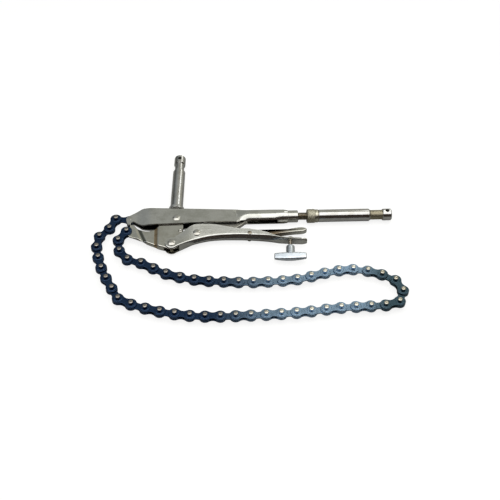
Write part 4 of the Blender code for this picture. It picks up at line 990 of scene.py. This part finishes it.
@dataclass
class OverCentre:
    """Toggle link, release lever and the spring that opens the jaw."""

    link_rear: Point = (99.968, 5.0)
    link_thickness: float = 5.0
    hub_radius: float = 4.7
    hub_width: float = 8.4
    release_reach: float = 72.8
    release_rise: float = 10.9
    release_width: float = 7.0
    wire_radius: float = 0.5
    coil_radius: float = 2.4
    curls: int = 11
    coil_steps: int = 20
    spring_rear: Point = (63.008, 6.562)
    link_front_radius: float = 6.2
    link_rear_radius: float = 3.8
    front_lead: float = 8.0
    rear_lead: float = 5.0

    link_top = ((0.03, 0.38), (0.135, 0.52), (0.33, 0.71), (0.58, 0.93), (0.86, 1.10))
    link_low = ((0.905, 0.84), (0.84, 0.72), (0.775, 0.535), (0.64, 0.31), (0.45, 0.10), (0.22, -0.10))
    release_top = (
        (0.05, 0.27), (0.16, 0.30), (0.30, 0.42), (0.435, 0.53), (0.61, 0.68), (0.787, 0.93), (0.875, 1.02),
        (0.955, 0.97), (1.0, 0.72),
    )
    release_low = (
        (0.975, 0.48), (0.90, 0.33), (0.785, 0.30), (0.61, 0.15), (0.43, -0.02), (0.26, -0.15), (0.10, -0.18),
    )
    release_nose = ((-0.03, -0.20), (-0.15, 0.30), (-0.205, 0.70), (-0.16, 0.68), (-0.09, 0.40))

    # Hooks of the spring's wire, (out of the plane, along its axis) from the point where each one hangs
    front_hook = ((4.4, 0.0), (2.6, 0.0), (1.2, 0.3), (0.0, 1.2))
    rear_hook = ((2.6, -1.4), (2.6, 0.0), (1.6, 0.0), (-2.4, 0.0))
    # Post of the spring, (height, radius)
    post_line = ((-1.6, 0.4), (-1.6, 1.5), (0.0, 1.8), (9.9, 1.8), (9.9, 0.4))

    def link(self) -> Shape:
        """The over-centre bar and its wide hub."""
        size = (self.link_rear[0] - LINK_PIVOT[0], self.link_rear[1] - LINK_PIVOT[1], LINK_PIVOT)
        line = arc(LINK_PIVOT, self.link_front_radius, 130, 285, 14) + scaled(reversed(self.link_low), *size)
        line += arc(self.link_rear, self.link_rear_radius, -75, 95, 12)
        line += scaled(reversed(self.link_top), *size)
        half = self.link_thickness / 2
        wide = self.hub_width / 2
        hub = rounded(mirrored([(wide, self.hub_radius), (wide, 3.2)]), 0.5)
        bar = slab(rounded(line, 5.0, closed=True), -half, half, 0.7)
        return joined(bar, turned_across(hub, LINK_PIVOT, 36))

    def release(self) -> Shape:
        """The tongue with its nose and its spoon-shaped finger end."""
        line = [*self.release_top, *self.release_low, *self.release_nose]
        line = scaled(reversed(line), self.release_reach, self.release_rise, RELEASE_PIVOT)
        half = self.release_width / 2
        return slab(rounded(line, 4.0, closed=True), -half, half, 1.5, 5)

    def spring(self) -> Shape:
        """Coil with straight leads and a hook at each end, as a round wire."""
        front = Vector((*SPRING_FRONT, 0.0))
        rear = Vector((*self.spring_rear, 0.0))
        axis = (rear - front).normalized()
        up = Vector((0, 0, 1))
        side = axis.cross(up)
        length = (rear - front).length - self.front_lead - self.rear_lead
        steps = self.curls * self.coil_steps
        line = [front + up * out + axis * place for out, place in self.front_hook]
        for i in range(steps + 1):
            share = i / steps
            radius = self.coil_radius * min(1.0, 2 * self.curls * share + 0.1)
            turn = 2 * math.pi * i / self.coil_steps
            centre = front + axis * (self.front_lead + length * share)
            line.append(centre + (up * math.cos(turn) + side * math.sin(turn)) * radius)
        line += [rear + up * out + axis * place for out, place in self.rear_hook]
        rings = []
        across = up
        for i, here in enumerate(line):
            along = (line[min(i + 1, len(line) - 1)] - line[max(i - 1, 0)]).normalized()
            across = (across - along * across.dot(along)).normalized()
            rings.append(circle(here, across, along.cross(across), [self.wire_radius] * 8))
        return loft(rings)

    def build(self) -> list[bpy.types.Object]:
        """The link, the release lever, the spring and its post."""
        bar = solid("toggle_bar", self.link())
        tongue = solid("release_tongue", self.release())
        spring = solid("opening_spring", self.spring())
        post = rounded(self.post_line, 0.4)
        peg = solid("spring_peg", lathe(post, (*self.spring_rear, 0.0), (0, 1, 0), 24))
        return [
            fit(bar, TUMBLED_BRIGHT, "link_body", "toggle_link"),
            # The tongue's brown is painted shade, fading to the plain nickel colour towards its finger end
            fit(tongue, PAINTED_SHADE_NICKEL, "release_body", "release_lever"),
            fit(spring, SPRING_WIRE, "frame", "tension_spring"),
            fit(peg, OILED_STEEL, "frame", "spring_post"),
        ]


def stud_profile(body: float, neck: float, head: float) -> list[Point]:
    """Profile of a 16 mm fixing stud: body, neck and head with broken edges."""
    radius, waist, cap = 8.0, 6.1, 7.5
    shoulder = body + neck
    end = shoulder + head
    corners = [
        (0.0, 0.3), (0.0, radius - 0.6), (0.6, radius), (body - 1.2, radius), (body + 0.6, waist + 0.2),
        (body + 1.4, waist), (shoulder - 1.0, waist), (shoulder, cap), (end - 1.0, cap), (end, cap - 1.0),
        (end, 0.3),
    ]
    return rounded(corners, 0.35, 3)


def threaded(start: float, end: float, radius: float, pitch: float, depth: float) -> Shape:
    """A rod on the tube's axis with a helical thread between its ends."""
    sides = 36
    count = int((end - start) / pitch * THREAD_SAMPLES)
    rings = []
    for i in range(count + 1):
        x = start + (end - start) * i / count
        fade = min(1.0, i / THREAD_SAMPLES, (count - i) / THREAD_SAMPLES)
        radii = [radius - depth * wave(x / pitch - k / sides) * fade - 0.7 * (1 - fade) for k in range(sides)]
        rings.append(circle(Vector((x, TUBE_HEIGHT, 0.0)), Vector((0, 1, 0)), Vector((0, 0, 1)), radii))
    return loft(rings)


@dataclass
class Adjuster:
    """Bush in the tube, threaded rod, knurled lock collar and the rear stud that turns the rod."""

    bush_length: float = 12.8
    bush_radius: float = 7.7
    plug_radius: float = 6.7
    rod_radius: float = 5.0
    rod_play: float = 0.3
    rod_start: float = 105.3
    rod_end: float = 190.3
    thread_pitch: float = 1.5
    thread_depth: float = 0.8
    collar_start: float = 165.6
    collar_length: float = 10.4
    collar_radius: float = 9.0
    ring_length: float = 4.0
    ring_radius: float = 8.3
    stud_start: float = 180.3
    stud_body: float = 66.0
    stud_neck: float = 17.0
    stud_head: float = 11.0
    dull_insets: Point = (0.3, 0.5)
    hole_radius: float = 2.6
    diamonds: int = 34
    knurl_depth: float = 0.45

    def collar(self) -> Shape:
        """Round nut with a diamond knurl between two chamfers, and a thin plain ring behind it."""
        sides, steps = 8 * self.diamonds, 40
        bore = self.rod_radius + self.rod_play
        reach, length = self.collar_radius, self.collar_length
        end = length + self.ring_length
        profile = [(0.0, bore, 0.0), (0.0, reach - 0.9, 0.0)]
        profile += [(0.7 + (length - 1.4) * i / steps, reach, self.knurl_depth) for i in range(steps + 1)]
        profile += [(length, reach - 0.9, 0.0), (length, self.ring_radius, 0.0)]
        profile += [(end - 0.4, self.ring_radius, 0.0), (end, self.ring_radius - 0.4, 0.0), (end, bore, 0.0)]
        size = 2 * math.pi * reach / self.diamonds
        rings = []
        for x, radius, depth in profile:
            along = x / size
            radii = [radius - depth * max(wave(k / 8 + along), wave(k / 8 - along)) for k in range(sides)]
            centre = Vector((self.collar_start + x, TUBE_HEIGHT, 0.0))
            rings.append(circle(centre, Vector((0, 1, 0)), Vector((0, 0, 1)), radii))
        return loft(rings, looped=True)

    def build(self) -> list[bpy.types.Object]:
        """Bush, rod, collar and stud."""
        bore = self.rod_radius + self.rod_play
        end = 0.3 + self.bush_length
        profile = [(-13.0, bore), (-13.0, self.plug_radius), (0.1, self.plug_radius), (0.1, self.bush_radius),
                   (end - 0.6, self.bush_radius), (end, self.bush_radius - 0.6), (end, bore)]
        bush = solid("screw_ferrule", lathe(rounded(profile, 0.3, closed=True), (TUBE_END, TUBE_HEIGHT, 0.0),
                                            (1, 0, 0), 64, looped=True))
        thread = threaded(self.rod_start, self.rod_end, self.rod_radius, self.thread_pitch, self.thread_depth)
        rod = solid("adjusting_thread", thread)
        stud = solid("rear_stud_turned", lathe(stud_profile(self.stud_body, self.stud_neck, self.stud_head),
                                               (self.stud_start, TUBE_HEIGHT, 0.0), (1, 0, 0), 72))
        collar = solid("lock_collar_knurled", self.collar())
        neck = self.stud_start + self.stud_body
        head = neck + self.stud_neck
        middle = head + self.stud_head / 2
        cut(stud, bore_shape((middle, TUBE_HEIGHT), self.hole_radius, 9.0, 32))
        pieces = [
            fit(bush, BRUSHED_NICKEL, "frame", "screw_bush", crease=50),
            fit(rod, OILED_STEEL, "adjuster", "adjusting_screw", crease=70),
            fit(collar, KNURLED_PLATE, "collar", "lock_collar", crease=60),
            fit(stud, TURNED_BRIGHT_X, "adjuster", "rear_stud", crease=50, second=TURNED_DULL),
        ]
        mark_faces(stud, between(neck + self.dull_insets[0], head - self.dull_insets[1]))
        return pieces


@dataclass
class UprightStud:
    """Stud welded square to the top of the handle, in its coned foot."""

    foot: Point = (-0.4, 18.759)
    lean: float = 2.8
    lift: float = 0.3
    body: float = 72.5
    neck: float = 13.5
    head: float = 13.5
    hole_radius: float = 2.6
    foot_stretch: float = 1.14
    foot_line = ((-0.1, 7.9), (-0.1, 8.9), (1.2, 8.9), (4.2, 8.35), (4.2, 7.9))

    def build(self) -> list[bpy.types.Object]:
        """Stud and foot."""
        lean = math.radians(self.lean)
        up = Vector((math.sin(lean), math.cos(lean), 0.0))
        start = Vector((*self.foot, 0.0)) + up * self.lift
        stud = solid("top_stud_turned", lathe(stud_profile(self.body, self.neck, self.head), start, up, 72))
        middle = start + up * (self.body + self.neck + self.head / 2)
        cut(stud, bore_shape(tuple(middle.xy), self.hole_radius, 9.0, 32))
        foot_line = rounded(self.foot_line, 0.4, closed=True)
        corners, faces = lathe(foot_line, start, up, 64, looped=True)
        oval = [Vector((start.x + (p.x - start.x) * self.foot_stretch, p.y, p.z)) for p in corners]
        base = solid("stud_foot", (oval, faces))
        return [
            fit(stud, TURNED_BRIGHT_Y, "frame", "top_stud", crease=50),
            fit(base, TURNED_BRIGHT_Y, "frame", "stud_base", crease=50),
        ]


@dataclass
class SafetyScrew:
    """Threaded stem, its nut, and the T-shaped knob with a round boss."""

    web: Point = (140.918, -38.653)
    down: Point = (-0.07324, -0.99731)
    stem_radius: float = 2.5
    stem_above: float = 5.9
    stem_below: float = 16.5
    thread_depth: float = 0.45
    boss_drop: float = 8.8
    boss_length: float = 12.5
    boss_radius: float = 5.3
    bar_length: float = 39.5
    bar_height: float = 10.2
    bar_belly: float = 2.0
    bar_thickness: float = 9.4
    bar_end: float = 6.4
    bar_draft: float = 0.17
    bar_closing: float = 0.9
    bar_rim: float = 2.7
    turn: float = 5.0

    nut_line = ((-5.1, 2.8), (-5.1, 4.3), (-4.6, 4.8), (-2.7, 4.8), (-2.7, 2.8))

    def bar(self, top: Vector, along: Vector, down: Vector) -> Shape:
        """Lens-shaped bar with rounded edges."""
        thick = along.cross(down)
        rings = []
        for share in (-1.0, -0.985, -0.95, *[i / 10 for i in range(-9, 10)], 0.95, 0.985, 1.0):
            bulge = 1 - share * share
            late = max((abs(share) - 0.95) / 0.05, 0.0)
            inset = self.bar_closing * (1 - math.sqrt(max(1 - late ** 2, 0.0)))
            half = (self.bar_end + (self.bar_thickness - self.bar_end) * bulge) / 2 - inset
            depth = self.bar_height - self.bar_belly + self.bar_belly * bulge - inset
            narrow = half - self.bar_draft * depth
            centre = top + along * (share * self.bar_length / 2)
            corners = [(inset, -half), (inset, half), (depth, narrow), (depth, -narrow)]
            line = rounded(corners, self.bar_rim, 7, closed=True)
            rings.append([centre + down * drop + thick * out for drop, out in line])
        return loft(rings)

    def stem(self, web: Vector, down: Vector) -> Shape:
        """Threaded stem from the inside of the lever down into the knob."""
        sides = 28
        across = down.orthogonal().normalized()
        other = down.cross(across)
        length = self.stem_above + self.stem_below
        count = int(length * THREAD_SAMPLES)
        rings = []
        for i in range(count + 1):
            drop = length * i / count
            core = self.stem_radius - 0.5 * max(0.0, 1 - drop)
            radii = [core - self.thread_depth * wave(drop - k / sides) for k in range(sides)]
            rings.append(circle(web + down * (drop - self.stem_above), across, other, radii))
        return loft(rings)

    def build(self) -> list[bpy.types.Object]:
        """Stem, nut and knob."""
        web = Vector((*self.web, 0.0))
        down = Vector((*self.down, 0.0)).normalized()
        turn = math.radians(self.turn)
        along = Vector((-down.y * math.cos(turn), down.x * math.cos(turn), math.sin(turn)))
        stem = solid("safety_screw_stem", self.stem(web, down))
        nut_line = rounded(self.nut_line, 0.3, closed=True)
        nut = solid("safety_screw_nut", lathe(nut_line, web, down, 40, looped=True))
        foot = self.boss_length + 1.5
        boss_line = [(0.0, 2.6), (0.0, self.boss_radius), (foot, self.boss_radius), (foot, 1.0)]
        boss = lathe(rounded(boss_line, 0.9, 5), web + down * self.boss_drop, down, 48)
        bar = self.bar(web + down * (self.boss_drop + self.boss_length - 1.0), along, down)
        knob = solid("safety_screw_knob", joined(boss, bar))
        return [
            fit(stem, OILED_STEEL, "safety_screw", "lock_screw", crease=70),
            fit(nut, OILED_STEEL, "hand_lever", "lock_nut", crease=50),
            fit(knob, ZINC_PLATE, "safety_screw", "lock_knob", crease=50),
        ]


@dataclass
class PlateChain:
    """Chain of riveted plates: each body is an inner plate with the outer link and the two pins after it."""

    pitch: float = 17.6
    inner_plate: float = 2.4
    outer_plate: float = 1.5
    gap: float = 0.2
    eye_radius: float = 7.0
    waist: float = 8.4
    shoulder_radius: float = 5.6
    shoulder_height: float = 0.35
    pin_head: float = 2.8
    pin_length: float = 12.8
    pin_flank: float = 0.35
    rim: float = 0.4

    pins = (
        (-58.53, 3.90), (-76.09, 5.09), (-83.38, -10.92), (-94.98, -24.16), (-97.30, -41.61),
        (-94.37, -58.96), (-89.64, -75.91), (-83.00, -92.21), (-75.41, -108.09), (-67.42, -123.77),
        (-52.04, -132.34), (-35.62, -138.67), (-18.84, -143.99), (-1.72, -148.05), (15.62, -151.05),
        (33.14, -152.76), (50.73, -153.31), (68.33, -153.25), (85.93, -152.93), (103.52, -152.49),
        (121.11, -151.81), (138.68, -150.84), (156.21, -149.21), (173.68, -147.10), (191.19, -145.26),
        (208.77, -144.44), (226.36, -144.08), (243.95, -143.30), (260.97, -138.83), (267.72, -122.58),
        (261.36, -106.17), (246.72, -96.41), (230.24, -90.23), (212.93, -87.08), (195.37, -88.33),
        (178.10, -91.72), (161.15, -96.47), (144.03, -100.55), (126.52, -102.28), (108.94, -103.12),
        (91.34, -103.43), (73.75, -102.87), (56.20, -101.48), (38.67, -99.95), (21.27, -97.32),
        (4.21, -93.00), (-12.32, -86.95), (-27.53, -78.09), (-42.66, -69.10), (-59.14, -62.93),
        (-69.51, -48.71), (-71.55, -31.23), (-62.10, -16.38),
    )

    def outline(self, start: Point, end: Point) -> list[Point]:
        """Two round eyes and the hollow curves of the waist between them."""
        first, last = Vector(start), Vector(end)
        along = (last - first).normalized()
        across = Vector((-along.y, along.x))
        middle = (first + last) / 2
        half, waist = self.pitch / 2, self.waist / 2
        hollow = (half ** 2 + waist ** 2 - self.eye_radius ** 2) / (2 * (self.eye_radius - waist))
        meet = math.degrees(math.atan2(waist + hollow, half))
        quarter = arc((half, 0.0), self.eye_radius, -180 + meet, 180 - meet, 16)
        quarter += arc((0.0, waist + hollow), hollow, -meet, -180 + meet, 6)[1:-1]
        return [tuple(middle + (along * x + across * y) * sign) for sign in (1, -1) for x, y in quarter]

    def plates(self, hinge: Point, first: Point, second: Point) -> Shape:
        """An inner plate and the two outer plates after it."""
        half = self.inner_plate / 2
        near = half + self.gap
        far = near + self.outer_plate
        outer = self.outline(first, second)
        shoulders = [self.shoulder(place, side * far, side) for place in (first, second) for side in (-1, 1)]
        return joined(slab(self.outline(hinge, first), -half, half, self.rim),
                      slab(outer, near, far, self.rim), slab(outer, -far, -near, self.rim), *shoulders)

    def shoulder(self, place: Point, height: float, side: int) -> Shape:
        """The round shoulder pressed up in an outer plate about a pin."""
        radius, rise = self.shoulder_radius, self.shoulder_height
        profile = [(-0.4, 0.2), (-0.4, radius), (0.0, radius), (rise * 0.7, radius - 0.15),
                   (rise, radius - 0.6), (rise, 0.2)]
        return lathe(profile, (*place, height), (0, 0, side), 28)

    def pin(self, place: Point) -> Shape:
        """A pin with two peened ends."""
        end, head = self.pin_length / 2, self.pin_head
        side = [(end - 2.6, CHAIN_PIN_RADIUS), (end - 1.1, head - 0.1), (end - 0.7, head),
                (end - 0.3, head - 0.25), (end - 0.05, head - 0.9), (end, 1.0), (end, 0.1)]
        return turned_across(mirrored(side), place, 28)

    def build(self) -> list[bpy.types.Object]:
        """All plates and pins, body by body."""
        made = []
        for number in range(len(self.pins) // 2):
            hinge, first, second = self.pins[2 * number:2 * number + 3]
            label = f"{number + 1:02d}"
            plates = solid(f"chain_plates_{label}", self.plates(hinge, first, second))
            pins = solid(f"chain_pins_{label}", joined(self.pin(first), self.pin(second)))
            made.append(fit(plates, BLUED_PLATE_PAINTED_LIGHT, f"chain_{label}", f"chain_link_{label}", crease=50))
            made.append(fit(pins, RUBBED_PIN_PAINTED_LIGHT, f"chain_{label}", crease=50, second=BLUED_PLATE_PAINTED_LIGHT))
            mark_faces(pins, lambda face: abs(face.normal.z) < self.pin_flank)
        return made


# Surroundings


@dataclass(frozen=True)
class SoftBox:
    """A lamp that looks at the middle of the clamp."""

    name: str
    place: tuple[float, float, float]
    size: Point
    watts: float
    colour: str

    def build(self) -> None:
        """The lamp, unseen by the camera."""
        data = bpy.data.lights.new(self.name, "AREA")
        data.shape = "RECTANGLE"
        data.size, data.size_y = self.size
        data.energy = self.watts
        data.color = linear_colour(self.colour)[:3]
        made = placed(self.name, data)
        made.location = self.place
        made.visible_camera = False
        made.rotation_euler = (-Vector(self.place)).to_track_quat("-Z", "Y").to_euler()


def seen_directly(tree: bpy.types.NodeTree) -> tuple[Socket, Socket]:
    """1 for what the camera sees, also through glass, and then 1 for what metal mirrors."""
    rays = add_node(tree, "ShaderNodeLightPath").outputs
    return maths(tree, "MAXIMUM", rays["Is Camera Ray"], rays["Is Transmission Ray"]), rays["Is Glossy Ray"]


@dataclass
class Studio:
    """White floor, soft boxes and the camera at the photograph's angle."""

    camera_place: tuple[float, float, float] = (-0.0513, -0.7409, 0.7927)
    lens: float = 62.1
    sensor: float = 36.0
    paper_half: float = 3.0
    paper_height: float = -0.0003
    paper_colour: str = "#8c8c89"
    paper_glow: float = 0.84
    paper_mirrored: float = 0.06

    # The room as metal mirrors it: two walls ahead, a dark corner on the left, dimmer behind the camera
    walls = ("#9fa3a5", "#bdbcb1")
    wall_ends = (-0.6, 0.5)
    corner = "#50534f"
    corner_ends = (-0.72, -0.28)
    behind = "#3f3833"
    behind_ends = (-0.30, 0.30)
    lamps = (
        SoftBox("soft_box_above", (0.0, -0.12, 1.10), (1.9, 1.15), 11.7, "#ffffff"),
        SoftBox("strip_box_rear", (0.48, 0.89, 0.70), (0.15, 0.60), 0.62, "#fbfdff"),
        SoftBox("soft_box_left", (-1.20, -0.10, 0.60), (0.5, 0.8), 0.7, "#e8f0ff"),
    )

    def camera(self) -> None:
        """Camera over the front of the clamp, looking down at 47.7 degrees."""
        right = Vector((0.99834, -0.05232, 0.02418))
        up = Vector((0.02249, 0.73984, 0.67240))
        back = Vector((-0.05307, -0.67074, 0.73979))
        data = bpy.data.cameras.new("camera")
        data.lens = self.lens
        data.sensor_width = self.sensor
        made = placed("camera", data)
        turn = Matrix((right, up, back)).transposed().to_4x4()
        made.matrix_world = Matrix.Translation(Vector(self.camera_place)) @ turn
        bpy.context.scene.camera = made

    def floor(self) -> None:
        """Matt white paper under the clamp; it shows white and keeps the shadow."""
        half, height = self.paper_half, self.paper_height
        corners = [(-half, -half, height), (half, -half, height), (half, half, height), (-half, half, height)]
        mesh = bpy.data.meshes.new("paper")
        mesh.from_pydata(corners, [], [(0, 1, 2, 3)])
        made = placed("paper", mesh)
        material = bpy.data.materials.new("white_paper")
        tree = empty_tree(material)
        direct, glossy = seen_directly(tree)
        lift = maths(tree, "MULTIPLY_ADD", glossy, self.paper_mirrored,
                     maths(tree, "MULTIPLY", direct, self.paper_glow))
        glow = add_node(tree, "ShaderNodeEmission", {"Color": (1, 1, 1, 1), "Strength": lift})
        paper = add_node(tree, "ShaderNodeBsdfDiffuse", {"Color": linear_colour(self.paper_colour)})
        both = add_node(tree, "ShaderNodeAddShader", {0: glow.outputs[0], 1: paper.outputs[0]})
        add_node(tree, "ShaderNodeOutputMaterial", {"Surface": both.outputs[0]})
        mesh.materials.append(material)

    def world(self) -> None:
        """White surroundings that are dimmer behind the camera, as a room is."""
        world = bpy.data.worlds.new("studio")
        bpy.context.scene.world = world
        tree = empty_tree(world)
        direction = add_node(tree, "ShaderNodeTexCoord").outputs["Generated"]
        parts = add_node(tree, "ShaderNodeSeparateXYZ", {0: direction}).outputs
        wall = mixed(tree, spread(tree, parts["X"], self.wall_ends), *self.walls)
        left = mixed(tree, spread(tree, parts["X"], self.corner_ends), self.corner, wall)
        room = mixed(tree, spread(tree, parts["Y"], self.behind_ends), self.behind, left)
        tone = mixed(tree, seen_directly(tree)[0], room, "#ffffff")
        sky = add_node(tree, "ShaderNodeBackground", {"Color": tone, "Strength": 1.0})
        add_node(tree, "ShaderNodeOutputWorld", {"Surface": sky.outputs[0]})

    def build(self) -> None:
        """Everything round the clamp."""
        self.camera()
        self.floor()
        self.world()
        for lamp in self.lamps:
            lamp.build()
        bpy.context.scene.view_settings.view_transform = "Standard"


ASSEMBLIES = (FixedHandle, MovingJaw, HandLever, OverCentre, Adjuster, UprightStud, SafetyScrew, PlateChain)


def main() -> None:
    """Build every sub-assembly, then the studio, and log how many pieces each one has."""
    logging.basicConfig(level=logging.INFO, format="%(message)s")
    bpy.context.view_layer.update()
    for assembly in ASSEMBLIES:
        pieces = assembly().build()
        LOG.info("%s: %d pieces", assembly.__name__, len(pieces))
    Studio().build()


if __name__ == "__main__":
    main()
